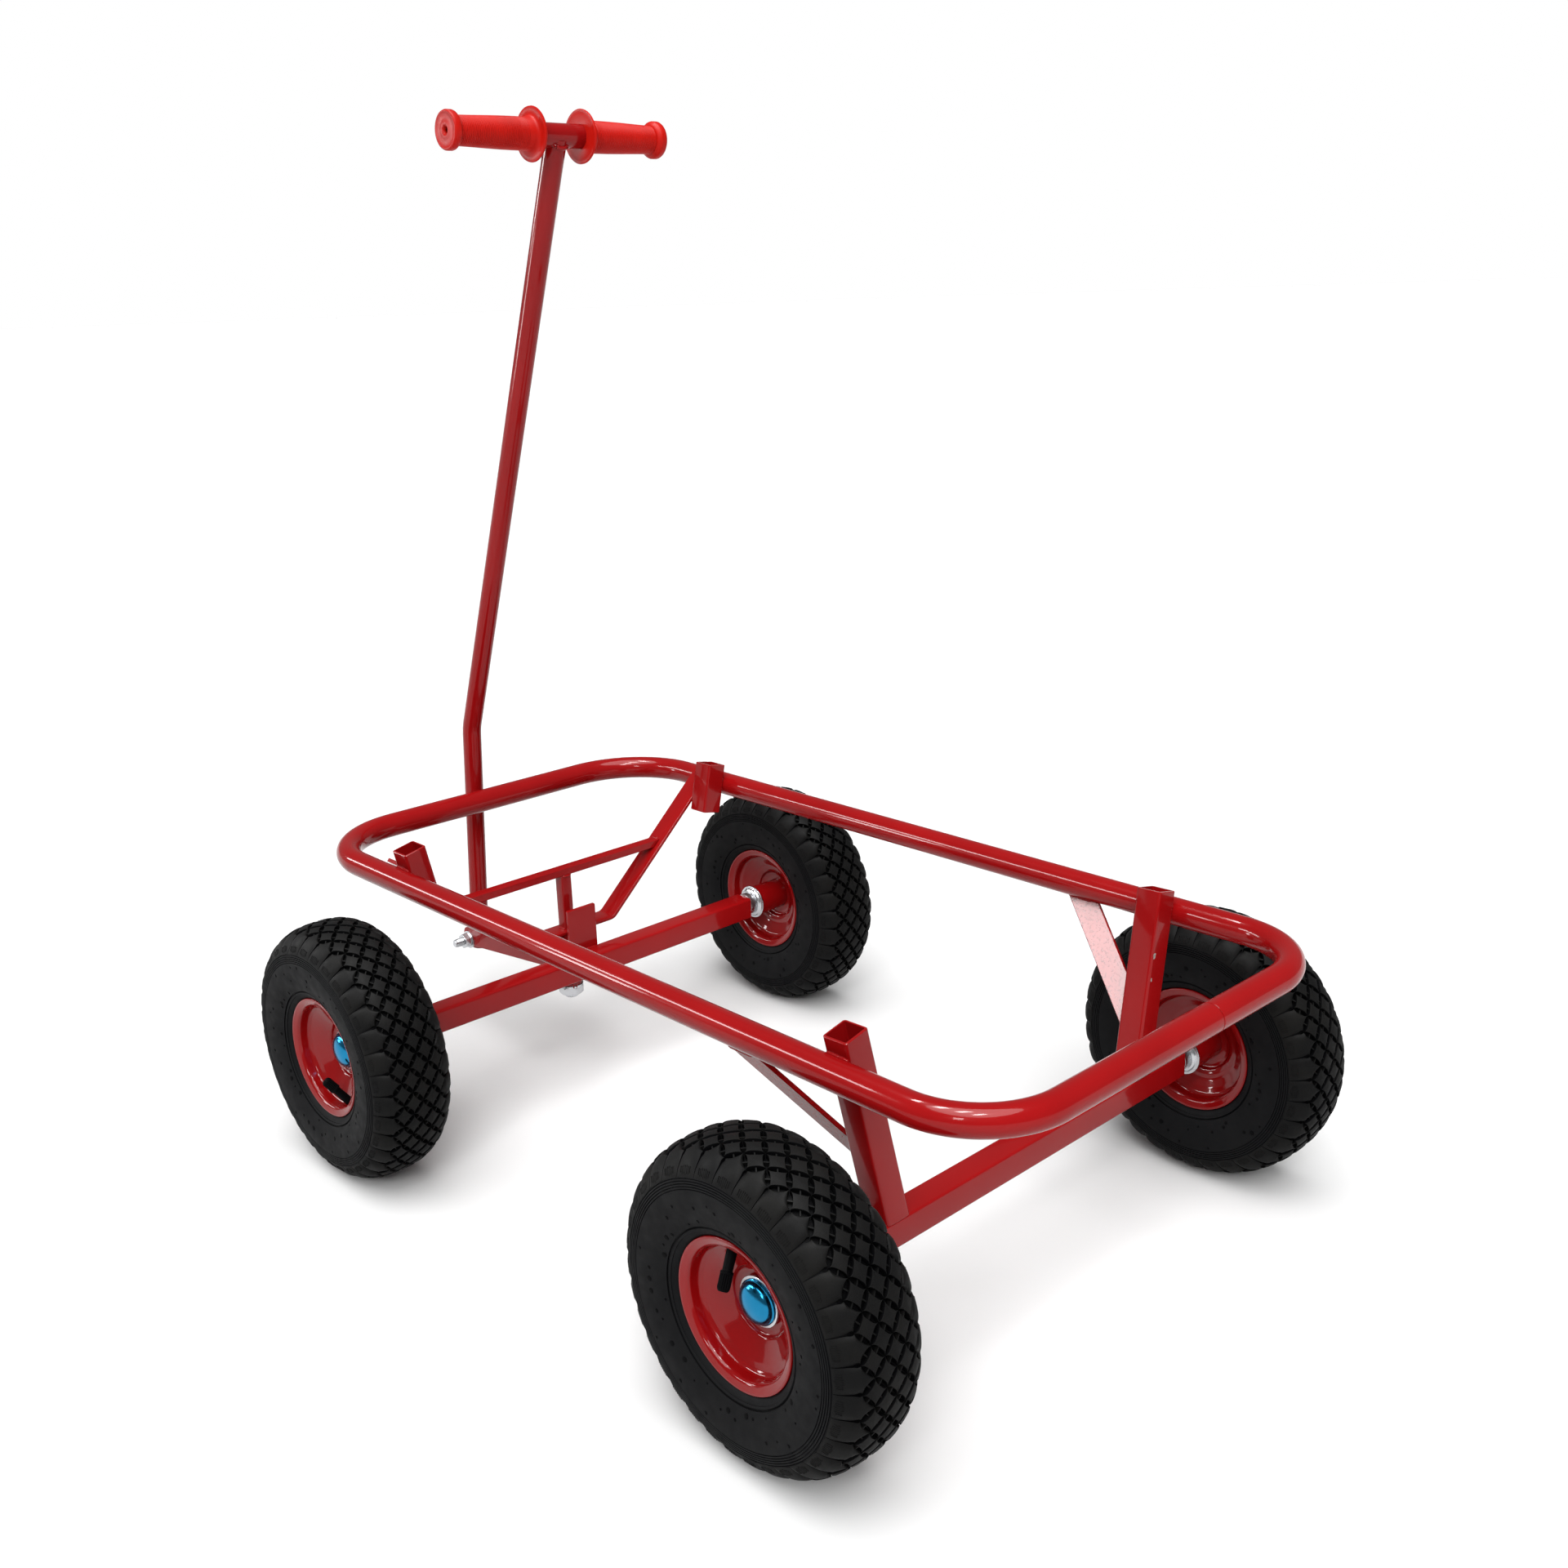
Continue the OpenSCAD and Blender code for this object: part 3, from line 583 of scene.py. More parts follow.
def posts():
    """Leaning square posts at the rear and short sockets in front."""
    length = (POST_TOP - BEAM_TOP) / math.cos(math.radians(POST_LEAN))
    post = Shape().square_tube(BEAM_SIDE, 0, length).moved(POST_PLACE)
    along = POST_PLACE.to_3x3() @ Vector((0, 0, 1))
    foot = [v for v in post.verts if v.z < BEAM_TOP + BEAM_SIDE / 2]
    for v in foot:
        v += along * ((BEAM_TOP - FOOT_DEPTH - v.z) / along.z)
    both("post_tube", post, RED, "rear_post", Matrix())

    top = (SOCKET_TOP - RAIL_Z) / math.cos(math.radians(SOCKET_LEAN))
    socket = Shape().square_tube(BEAM_SIDE, top - SOCKET_LEN, top)
    both("socket_tube", socket, RED, "front_socket",
         shift(SOCKET_X, SOCKET_Y, RAIL_Z) @ turn(-SOCKET_LEAN))


BRACE_PLACE = shift(X_REAR + 6, 153.6, BEAM_TOP + 15) @ turn(60)
BRACE_T, BRACE_W, BRACE_SLOPE = 4, 25, 46       # thickness, width, degrees


def braces():
    """Flat straps from the rear posts up to the underside of the rail."""
    slope = math.tan(math.radians(BRACE_SLOPE))
    band = BRACE_W * math.sqrt(1 + slope * slope)
    low, top, start = 19, 132.8, 6.6        # in the strap's own plane
    outline = [(start, low + start * slope), ((top - low) / slope, top),
               ((top - low - band) / slope, top), (start, low + band + start * slope)]
    strap = Shape().plate(outline, BRACE_T, 0.7)
    both("brace_strap", strap, RED_PITTED, "rear_brace",
         BRACE_PLACE @ shift(0, 0, -BRACE_T / 2))


def beams():
    """The square axle tubes."""
    tube = Shape().square_tube(BEAM_SIDE, -BEAM_HALF, BEAM_HALF)
    for name, x, body in (("rear_axle_beam", X_REAR, "chassis"),
                          ("front_axle_beam", X_FRONT, "steering")):
        copy = Shape().add(tube).moved(shift(x, 0, BEAM_Z) @ turn(-90))
        red(f"{name}_tube", copy, body, name)


def yz_plate(outline, x, t, bevel=0.6):
    """A plate drawn as (y, z), from x to x + t."""
    flip = Matrix(((0, 0, 1, 0), (1, 0, 0, 0), (0, 1, 0, 0), (0, 0, 0, 1)))
    return Shape().plate(outline, t, bevel).moved(shift(x) @ flip)


def xz_plate(outline, y, t, bevel=0.5):
    """A plate drawn as (x, z), from y to y + t."""
    flip = Matrix(((1, 0, 0, 0), (0, 0, 1, 0), (0, 1, 0, 0), (0, 0, 0, 1)))
    return Shape().plate(outline, t, bevel).moved(shift(0, y) @ flip)


def hanger():
    """The bent strap under the front of the rail, its cross bar and strut."""
    t, flat, slope, reach = 4, 57.8, math.radians(42.1), 206
    lo, hi = box("front_hanger")
    x0, z0, width = lo.x, lo.z, hi.x - lo.x
    inner = flat - t * math.tan(slope / 2)
    corner = (flat + inner) / 2
    rise = (reach - corner - t / 2 * math.sin(slope)) * math.tan(slope)
    end = (corner + rise / math.tan(slope), z0 + t / 2 + rise)
    run = [(-end[0], end[1]), (-corner, z0 + t / 2), (corner, z0 + t / 2), end]
    path = [(x0 + width / 2, y, z) for y, z in fillet(run, 12, 8, closed=False)]
    strap = Shape().sweep(path, (1, 0, 0), soft_bar(t, width, 0.9))
    red("hanger_strap", strap, "chassis", "front_hanger")

    lo, hi = box("front_cross_bar")
    gap_low = inner + (lo.z - z0 - t) / math.tan(slope)
    outline = [(-gap_low, lo.z), (gap_low, lo.z), (hi.y, hi.z), (-hi.y, hi.z)]
    red("cross_bar", yz_plate(outline, lo.x, hi.x - lo.x, 0.9), "chassis", "front_cross_bar")

    lo, hi = box("hanger_strut")
    outline = rounded_square(hi.x - lo.x, 1.4, 3)
    strut = Shape().plate(outline, hi.z - lo.z, 0.2).moved(shift(PIN_X, 0, lo.z))
    red("strut", strut, "chassis", "hanger_strut")

    lo, hi = box("stop_plate")
    outline = fillet([(lo.y, lo.z - 0.3), (hi.y, lo.z - 0.3), (hi.y, hi.z), (lo.y, hi.z)],
                     [0, 0, 1.5, 1.5], 3)
    red("stop", yz_plate(outline, lo.x, hi.x - lo.x, 0.5), "steering", "stop_plate")


def tongue():
    """Two side plates that taper from the axle tube to the handle's pivot."""
    lo, hi = box("tongue_plate_left")
    root_low, nose_high = 115.5, 112.0
    outline = fillet([(lo.x, root_low), (hi.x, lo.z), (hi.x, nose_high), (lo.x, hi.z)],
                     [0, 7, 9, 0], 5)
    for side, sign in SIDES:
        plate = xz_plate(outline, lo.y, hi.y - lo.y)
        if sign < 0:
            plate.moved(MIRROR)
        red(f"tongue_{side}", plate, "steering", f"tongue_plate_{side}")


# ------------ welds and chips

BEAD_STEP = 0.7


def bead(run, r, seed):
    """A lumpy weld bead of radius r along a run of points, thinner at both ends."""
    rng = random.Random(seed)
    run = [Vector(p) for p in run]
    rings = []
    for i, (a, b) in enumerate(zip(run, run[1:])):
        along = (b - a).normalized()
        side = along.orthogonal().normalized()
        up = along.cross(side)
        steps = max(int((b - a).length / BEAD_STEP), 2)
        for j in range(steps + (i == len(run) - 2)):
            t = j / steps
            ends = min((i + t) * 4, (len(run) - 1 - i - t) * 4, 1)
            size = r * (0.25 + 0.75 * ends ** 0.5) * (0.84 + 0.16 * abs(math.sin(j * 0.95))
                                                     + rng.uniform(-0.07, 0.07))
            rings.append([a.lerp(b, t) + side * u + up * v for u, v in circle(size, 10)])
    return Shape().rings(rings)


def weld(name, runs, body):
    """One piece that holds several beads, each a (points, radius) pair."""
    shape = Shape()
    for seed, (run, r) in enumerate(runs):
        shape.add(bead(run, r, seed))
    piece(name, shape, RED, body, sharp=60)


def mirrored(runs):
    """The runs and their mirror images on the right."""
    return runs + [([(x, -y, z) for x, y, z in run], r) for run, r in runs]


def rail_welds(x, y, lean, half, up):
    """Beads above and below the line where a leaning square tube meets the rail."""
    a = math.radians(lean)
    axis = Vector((0, math.sin(a), math.cos(a)))
    out = Vector((0, math.cos(a), -math.sin(a)))
    foot = Vector((0, y, up))
    to_rail = Vector((0, RAIL_HALF, RAIL_Z)) - foot
    contact = foot + axis * to_rail.dot(axis) + out * (BEAM_SIDE / 2 + 0.5)
    runs = []
    for lift in (5.6, -5.6):
        p = contact + axis * lift
        runs.append(([(x - half, p.y, p.z), (x, p.y, p.z), (x + half, p.y, p.z)], 2.3))
    return runs


def chassis_welds():
    """Beads at the posts' feet, the rail, the braces, the hanger's bar and the strut."""
    h = BEAM_SIDE / 2
    runs = []
    for sign in (-1, 1):
        y = POST_FOOT_Y + sign * (h + 0.4)
        runs.append(([(X_REAR - h + 1.5, y, BEAM_TOP + 0.3), (X_REAR, y, BEAM_TOP + 0.3),
                      (X_REAR + h - 1.5, y, BEAM_TOP + 0.3)], 1.9))
        x = X_REAR + sign * (h - 1.2)
        runs.append(([(x, POST_FOOT_Y - h + 1, BEAM_TOP - 0.2), (x, POST_FOOT_Y, BEAM_TOP - 0.2),
                      (x, POST_FOOT_Y + h - 1, BEAM_TOP - 0.2)], 1.35))
    rake = (RAIL_Z - BEAM_TOP) * math.tan(math.radians(POST_RAKE))
    runs += rail_welds(X_REAR + rake, POST_FOOT_Y, POST_LEAN, h - 1, BEAM_TOP)
    runs += rail_welds(SOCKET_X, SOCKET_Y, SOCKET_LEAN, h - 1, RAIL_Z)

    # The brace's two ends, in its own plane.
    ends = ((h - 5.2, 44, h - 5.2, 64), (80, 131.2, 108, 131.2))
    for x0, y0, x1, y1 in ends:
        for z in (-2.2, 2.2):
            line = [BRACE_PLACE @ Vector((x0 + (x1 - x0) * t, y0 + (y1 - y0) * t, z))
                    for t in (0, 0.5, 1)]
            runs.append(([tuple(p) for p in line], 1.6))

    lo, hi = box("front_cross_bar")
    for z, y in ((hi.z, hi.y - 2.5), (lo.z, hi.y - 10)):
        runs.append(([(lo.x + 1, y, z), ((lo.x + hi.x) / 2, y, z), (hi.x - 1, y, z)], 1.5))
    runs = mirrored(runs)
    lo, hi = box("hanger_strut")
    for z in (lo.z + 0.4, hi.z - 0.4):
        for y in (lo.y, hi.y):
            runs.append(([(lo.x + 1, y, z), (PIN_X, y, z), (hi.x - 1, y, z)], 1.4))
        for x in (lo.x, hi.x):
            runs.append(([(x, lo.y + 1, z), (x, 0, z), (x, hi.y - 1, z)], 1.4))
    weld("chassis_weld_beads", runs, "chassis")


def steering_welds():
    """Beads at the foot of the stop plate and at the tongue's root."""
    lo, hi = box("stop_plate")
    top = box("front_axle_beam")[1].z
    middle = (lo.y + hi.y) / 2
    runs = [([(x, lo.y + 1, top), (x, middle, top), (x, hi.y - 1, top)], 1.5)
            for x in (lo.x - 0.3, hi.x + 0.3)]
    lo, hi = box("tongue_plate_left")
    x = box("front_axle_beam")[1].x + 0.2
    runs += mirrored([([(x, y, lo.z + 8), (x, y, 128), (x, y, hi.z - 2)], 1.5)
                      for y in (lo.y - 0.2, hi.y + 0.2)])
    weld("steering_weld_beads", runs, "steering")


def tee_weld():
    """The bead round the handle tube where it meets the cross bar."""
    steps = 12
    ring = []
    for i in range(steps + 1):
        a = 2 * math.pi * i / steps
        y = 11.2 * math.sin(a)
        drop = math.sqrt(max(BAR_R ** 2 - y ** 2, 0)) + 0.6
        ring.append((BAR.x + 11.4 * math.cos(a) + 3.0, y, BAR.z - drop * 0.93 - 1.6))
    weld("handle_weld_bead", [(ring, 2.1)], "handle")


CHIPS = ((113, 3.8), (91, 2.2))         # how far up the post, and how large


def paint_chips():
    """Two flakes lost from the rear inner edge of the right post."""
    shape = Shape()
    h = BEAM_SIDE / 2
    for up, size in CHIPS:
        rings = []
        for depth, k in ((0.5, 0.9), (-0.06, 1.0), (-0.1, 0.85)):
            rng = random.Random(up)
            ring = []
            for i in range(14):
                a = 2 * math.pi * i / 14
                r = size * rng.uniform(0.55, 1.05) * k
                ring.append((-h + depth, -h + 4.2 + r * math.cos(a) * 0.55,
                             up + r * math.sin(a)))
            rings.append(ring)
        shape.rings(rings)
    piece("post_paint_chips", shape.moved(MIRROR @ POST_PLACE), BARE, "chassis",
          sharp=60)


# ------------ fasteners

def nut_shape(af, h, bore):
    """A hexagon with chamfered corners and a bore, standing on Z = 0."""
    n = 60
    crest = af / 2 * 1.02
    rings = []
    for kind in ("in_low", "low", "side_low", "side_high", "high", "in_high"):
        ring = []
        for i in range(n):
            a = 2 * math.pi * i / n
            hexagon = af / 2 / math.cos((a + math.pi / 6) % (math.pi / 3) - math.pi / 6)
            drop = max(hexagon - crest, 0) * 0.6
            r, z = {"in_low": (bore, 0.0), "low": (crest - 0.3, 0.0),
                    "side_low": (hexagon, drop + 0.1), "side_high": (hexagon, h - drop - 0.1),
                    "high": (crest - 0.3, h), "in_high": (bore, h)}[kind]
            ring.append((r * math.cos(a), r * math.sin(a), z))
        rings.append(ring)
    return Shape().rings(rings, loop=True)


def ring_shape(r_out, r_in, t, soft=0.4):
    """A flat ring with softened edges, standing on Z = 0."""
    profile = fillet([(r_in, 0), (r_out, 0), (r_out, t), (r_in, t)], soft, 3)
    return Shape().lathe(profile, 72)


def threaded(r, length, pitch=1.5, depth=0.35):
    """A rod along Z with thread grooves and a chamfered end."""
    profile = [(0, 0), (r - depth, 0)]
    z = pitch * 0.5
    while z + pitch < length - 1:
        profile += [(r, z), (r - depth, z + pitch / 2)]
        z += pitch
    profile += [(r - depth, length - 0.8), (r - 1.0, length), (0, length)]
    return Shape().lathe(profile, 32)


def fasteners():
    """The handle's pivot bolt and nut, and the kingpin and its nut."""
    lo, hi = box("pivot_bolt")
    face = box("pivot_washers")[1].y
    r, pin_r, clear = 5.0, 8, 0.02
    along = turn(-90)
    bolt = threaded(r - clear, hi.y - 2).moved(shift(PIVOT.x, 2, PIVOT.z) @ along)
    shank = Shape().lathe([(0, 0), (r, 0), (r, face + 2), (0, face + 2)], 32)
    bolt.add(shank.moved(shift(PIVOT.x, -face, PIVOT.z) @ along))
    head = nut_shape(17, -face - lo.y, 2.0)
    bolt.add(head.moved(shift(PIVOT.x, lo.y, PIVOT.z) @ along @ turn(z=12)))
    piece("pivot_bolt_threaded", bolt, ZINC, "steering", ["pivot_bolt"])
    lo, hi = box("pivot_nut")
    nut = nut_shape(16, hi.y - lo.y, 4.9).moved(shift(PIVOT.x, lo.y, PIVOT.z) @ along)
    piece("pivot_nut_hex", nut, ZINC, "steering", ["pivot_nut"])
    lo, hi = box("kingpin_nut")
    nut = nut_shape(24, hi.z - lo.z, 7.9).moved(shift(PIN_X, 0, lo.z) @ turn(z=20))
    piece("kingpin_nut_hex", nut, ZINC, "chassis", ["kingpin_nut"])
    lo, hi = box("kingpin")
    pin = threaded(pin_r - clear, hi.z - lo.z, 2.0, 0.5)
    pin.moved(shift(PIN_X, 0, hi.z) @ turn(180))
    piece("kingpin_threaded", pin, ZINC, "chassis", ["kingpin"])


# ------------ handle

def handle():
    """The bent tube, its cross bar and the two grips."""
    lean, bend, bend_r = 5, math.asin(0.28), 60
    r, lower, upper, tail = 10.5, 257, 650, 12
    steps, sides = 12, 56
    path = [(0, -tail), (0, 0), (0, lower)]
    path += [(-bend_r + bend_r * math.cos(bend * i / steps),
              lower + bend_r * math.sin(bend * i / steps)) for i in range(1, steps + 1)]
    x, z = path[-1]
    for step in (0.5, 0.9, 0.955, 0.98, 1.0):
        path.append((x - upper * step * math.sin(bend), z + upper * step * math.cos(bend)))
    place = shift(*PIVOT) @ turn(0, -lean)
    points = [place @ Vector((px, 0, pz)) for px, pz in path]
    points[-1] = points[-1].lerp(points[-2], 0.15)
    swell = [1] * (len(path) - 2) + [1.05, 1.12]
    outside = [[(u * k, v) for u, v in circle(r, sides)] for k in swell]
    inside = [circle(r - HANDLE_WALL, sides)] * len(path)
    rows = []
    for sections in (outside, inside):
        verts = Shape().sweep(points, (0, 1, 0), sections, caps=False).verts
        rows.append([verts[i * sides:(i + 1) * sides] for i in range(len(points))])
    tube = Shape().rings(rows[0] + rows[1][::-1], loop=True)
    red("handle_bent_tube", tube, "handle", "handle_tube")

    bore = BAR_R - HANDLE_WALL
    bar = Shape().lathe(fillet([(bore, -BAR_HALF), (BAR_R, -BAR_HALF), (BAR_R, BAR_HALF),
                                (bore, BAR_HALF)], 0.3, 2), 64)
    red("handle_bar", bar.moved(shift(*BAR) @ turn(-90)), "handle", "handle_crossbar")
    grips()


def grips():
    """Grips with a round flange, fine ribs and a swollen end."""
    lo, hi = box("grip_left")
    inner, tip = lo.y, hi.y
    flange = hi.z - BAR.z
    bore = BAR_R + 0.05
    front = [(bore, inner), (flange - 3.2, inner), (flange - 2.6, inner + 0.25),
             (flange - 0.7, inner), (flange, inner + 1.0), (flange - 0.2, inner + 2.2),
             (flange - 1.6, inner + 3.0), (flange - 3.4, inner + 2.7), (17.6, inner + 3.3),
             (16.0, inner + 4.4), (15.2, inner + 6.4), (14.7, inner + 10.5)]
    body = []
    pitch, depth = 1.9, 0.55
    start, stop = inner + 12.0, 110.0
    y = start
    while y < stop:
        t = (y - start) / (stop - start)
        r = 14.6 - 1.5 * (3 * t * t - 2 * t * t * t) + 0.25 * math.sin(math.pi * t)
        body += [(r - depth, y), (r, y + depth), (r, y + pitch - depth), (r - depth, y + pitch)]
        y += pitch
    end = [(13.3, 111.2), (14.6, 112.6), (16.9, 114.2), (17.3, 115.4), (17.3, tip - 1.7),
           (16.6, tip - 0.3), (15.6, tip), (14.9, tip - 0.4), (8.0, tip - 0.6),
           (6.4, tip), (4.2, tip - 0.1), (3.2, tip - 0.9), (3.0, BAR_HALF + 0.1),
           (bore, BAR_HALF + 0.1)]
    shape = Shape().lathe(front + body + end, 88)
    for side, sign in SIDES:
        copy = Shape().add(shape).moved(shift(*BAR) @ turn(-90))
        if sign < 0:
            copy.moved(MIRROR)
        piece(f"grip_ribbed_{side}", copy, GRIP, "handle", [f"grip_{side}"], sharp=50)


# ------------ wheels
# A wheel is drawn with its axle along Z and its outer side at +Z. A place on a
# tyre is given by s, the arc length from the crown over the section, and by q,
# the angle in tread pitches.

PITCHES = 34                # tread blocks round the tyre
ROW = 10.0                  # between rows of blocks, along s
DEPTH = 5.2                 # of the tread grooves
SEC_MID, HALF_W = 95, 42.9  # radius where the section is widest, and half its width
SEC_TOP, SEC_LOW = TYRE_R - SEC_MID, 54.5
SQUARENESS = 0.77           # of the shoulders; 1 would be an ellipse
SPIN = {"rl": 139.2, "rr": 17.0, "fl": 74.0, "fr": 205.0}       # each tyre's turn, in degrees
VALVE_AT = {"rl": 77, "rr": 150, "fl": -114, "fr": 15}          # each valve's, on its rim


def tyre_section():
    """The tyre's outer half section: (arc length, radius, height, normal r, normal w)."""
    pts = []
    steps = 70
    for i in range(steps + 1):
        a = math.pi / 2 * (i / steps) ** 1.35
        pts.append((SEC_MID + SEC_TOP * max(math.cos(a), 0) ** SQUARENESS,
                    HALF_W * math.sin(a) ** SQUARENESS))
    for i in range(1, 50):
        r = SEC_MID - i * 0.69
        pts.append((r, HALF_W * math.sqrt(1 - ((SEC_MID - r) / SEC_LOW) ** 2)))
    rows, s = [], 0.0
    for i, p in enumerate(pts):
        a, b = pts[max(i - 1, 0)], pts[min(i + 1, len(pts) - 1)]
        if i:
            s += math.dist(p, pts[i - 1])
        t = Vector((b[0] - a[0], b[1] - a[1])).normalized()
        rows.append((s, p[0], p[1], t.y, -t.x))
    rows[0] = (0.0, pts[0][0], 0.0, 1.0, 0.0)
    return rows


SECTION = tyre_section()


def skin(s, h):
    """(radius, height) at arc length s from the crown, h above the section."""
    sign, s = (-1 if s < 0 else 1), abs(s)
    for a, b in zip(SECTION, SECTION[1:]):
        if b[0] >= s:
            break
    t = min((s - a[0]) / (b[0] - a[0]), 1.0)
    r, w, nr, nw = (a[k] + (b[k] - a[k]) * t for k in (1, 2, 3, 4))
    return r + nr * h, sign * (w + nw * h)


def sink(s):
    """How far the carcass lies under the section, tread grooves included."""
    s = abs(s)
    stops = ((0, DEPTH), (29, DEPTH), (40, 3.2), (52, 1.0), (57, 0.5), (200, 0.5))
    for (s0, d0), (s1, d1) in zip(stops, stops[1:]):
        if s <= s1:
            return d0 + (d1 - d0) * (s - s0) / (s1 - s0)


def on_tyre(s, q, h):
    """A point at arc length s and angle q in tread pitches."""
    r, w = skin(s, h)
    a = 2 * math.pi * q / PITCHES
    return Vector((r * math.cos(a), r * math.sin(a), w))


def carcass():
    """Smooth lathe under the tread, with fine rings pressed into the sidewalls."""
    last = SECTION[-1][0]
    profile = [(i * 1.5, -sink(i * 1.5)) for i in range(34)]
    for k in range(5):
        s = 51.6 + 2.0 * k
        profile += [(s, -0.35), (s + 0.25, -1.3), (s + 0.65, -1.3), (s + 0.95, -0.35)]
    profile += [(64, -0.45), (70, -0.4), (78, -0.4), (86, -0.35), (90.8, -0.4), (91.2, -2.0),
                (92.2, -2.0), (92.6, 0.05), (94.5, 0.1), (94.9, -0.5), (last - 1.5, -0.5),
                (last, -0.9)]
    outer = [skin(s, h) for s, h in profile]
    inner = [(60.0, 30.6), (54.6, 30.2), (54.6, 20.5), (61, 21.5), (68, 30), (84, 36),
             (108, 33), (120.5, 18)]
    half = outer + inner
    other = [(r, -w) for r, w in reversed(half[1:])]
    shape = Shape().lathe(half + other, PITCHES * 4)
    # Faces down between the tread blocks take the darker rubber: painted shade in the grooves.
    edge = skin(31, 0)
    for i, face in enumerate(shape.faces):
        c = sum((shape.verts[k] for k in face), Vector()) / len(face)
        if abs(c.z) < edge[1] and math.hypot(c.x, c.y) > edge[0] - DEPTH - 2:
            shape.dark.add(i)
    return shape


def star(k=0.13, gap=0.018):
    """Outline of one tread block in its own (u, v) square, sides drawn in."""
    c = 0.5 - gap
    corners = [(c, c), (-c, c), (-c, -c), (c, -c)]
    out = []
    for (x0, y0), (x1, y1) in zip(corners, corners[1:] + corners[:1]):
        for t in (0, 0.05, 0.12, 0.2, 0.35, 0.5, 0.65, 0.8, 0.88, 0.95):
            pull = k * (1 - abs(2 * t - 1) ** 4)
            x, y = x0 + (x1 - x0) * t, y0 + (y1 - y0) * t
            nx, ny = -(x0 + x1) / 2 / c, -(y0 + y1) / 2 / c
            out.append((x + nx * pull, y + ny * pull))
    return out


def block(shape, row, col):
    """One star-shaped tread block, a little lower at its pointed corners, with walls in painted
    groove shade.
    """
    outline = star()
    q0 = col + 0.5 * (row % 2)

    def layer(scale, h, ears):
        return [on_tyre(ROW * (row + (u + v) * scale), q0 + 0.5 * (u - v) * scale,
                        h - ears * (2 * min(abs(u), abs(v))) ** 3)
                for u, v in outline]
    depth = -DEPTH - 0.6
    rings = [layer(1.0, depth, 0), layer(1.0, -0.6, 0.6), layer(0.965, -0.25, 0.5),
             layer(0.6, -0.1, 0.1)]
    base = len(shape.verts)
    first = len(shape.faces)
    shape.rings(rings, caps=False)
    n = len(outline)
    # The block's walls take the darker rubber: painted shade in the grooves.
    shape.dark |= set(range(first, first + n))
    for ring, h in ((0, depth), (3, 0)):
        shape.verts.append(on_tyre(ROW * row, q0, h))
        tip = len(shape.verts) - 1
        for i in range(n):
            shape.faces.append((base + ring * n + i, base + ring * n + (i + 1) % n, tip))


def rib(shape, s, q, ds, dq, ws, wq, low, high):
    """A small raised bar centred at (s, q), reaching ds, dq each way, half width ws, wq."""
    corners = ((-1, -1), (1, -1), (1, 1), (-1, 1))
    rings = []
    for h, k in ((low, 1.2), (high, 1.0)):
        rings.append([on_tyre(s + a * ds + b * ws * k, q + a * dq + b * wq * k, h)
                      for a, b in corners])
    shape.rings(rings)


# (s, half width in pitches) from a lug's point near the crown to its foot.
LUG_EDGE = ((20.5, 0.004), (22.2, 0.035), (23.8, 0.10), (25.6, 0.18), (27.4, 0.26),
            (28.4, 0.34), (29.4, 0.455), (30.6, 0.43), (32.0, 0.425), (34.5, 0.455),
            (37.5, 0.470), (41.0, 0.476), (45.0, 0.482), (48.5, 0.488), (50.8, 0.490))


def lug(shape, side, col):
    """A shoulder lug: the outermost half block run on down the sidewall."""
    q0 = col + 0.5
    top, foot = -0.35, LUG_EDGE[-1][0]
    rings = []
    for s, edge in LUG_EDGE:
        low = -sink(s) - 0.6
        fall = min(max(foot - s, 0) / 12, 1)
        across = [(-1.0, low)]
        across += [(q, top - 2.1 * fall * abs(q) ** 4) for q in
                   (-1.0, -0.93, -0.8, -0.6, -0.3, 0, 0.3, 0.6, 0.8, 0.93, 1.0)]
        across += [(1.0, low)]
        rings.append([on_tyre(side * s, q0 + edge * q, h) for q, h in across])
    first = len(shape.faces)
    shape.rings(rings)
    n = len(rings[0])
    # The lug's slit walls take the darker rubber: painted shade in the slits.
    for i in range(len(rings) - 1):
        shape.dark |= {first + i * n, first + i * n + n - 2}
    for k in range(7):
        rib(shape, side * (45.6 + 0.5 * (k % 2)), q0 + (k - 3) * 0.085,
            3.6 - 0.4 * abs(k - 3), 0, 0, 0.009, -1.2, -0.02)


def tread():
    """Five rows of blocks with small ribs across the grooves, and the shoulder lugs."""
    shape = Shape()
    for col in range(PITCHES):
        for row in range(-2, 3):
            block(shape, row, col)
            q0 = col + 0.5 * (row % 2)
            for side in (-1, 1):
                if row < 0 and side > 0 or row > 0 and side < 0:
                    continue
                for turn_to in (-1, 1):
                    rib(shape, ROW * (row + side * 0.5), q0 + turn_to * 0.25,
                        side * ROW * 0.20, turn_to * 0.10, -side * ROW * 0.034,
                        turn_to * 0.017, -DEPTH - 0.6, -1.9)
        rib(shape, 0, col, 0, 0.3, 0.2, 0, -0.6, 0.05)
        for side in (-1, 1):
            lug(shape, side, col)
    return shape


def vent_nubs():
    """Little moulding nubs scattered on the sidewalls."""
    rng = random.Random(41)
    count = 54
    shape = Shape()
    for side in (-1, 1):
        for i in range(count):
            s = rng.choice((64.5, 70, 75, 79, 82, 85, 87)) + rng.uniform(-0.8, 0.8)
            q = PITCHES * (i + rng.uniform(-0.4, 0.4)) / count
            size = rng.choice((0.9, 1.1, 1.4, 1.7, 2.3))
            r0 = skin(s, 0)[0]
            rings = []
            for k, h in ((1.15, -1.2), (1.0, -0.2), (0.75, -0.03), (0.3, 0.0)):
                rings.append([on_tyre(side * (s + size * k * math.cos(a)),
                                      q + size * k * math.sin(a) / r0 * PITCHES / 2 / math.pi, h)
                              for a in (j * math.pi / 4 for j in range(8))])
            shape.rings(rings)
    return shape


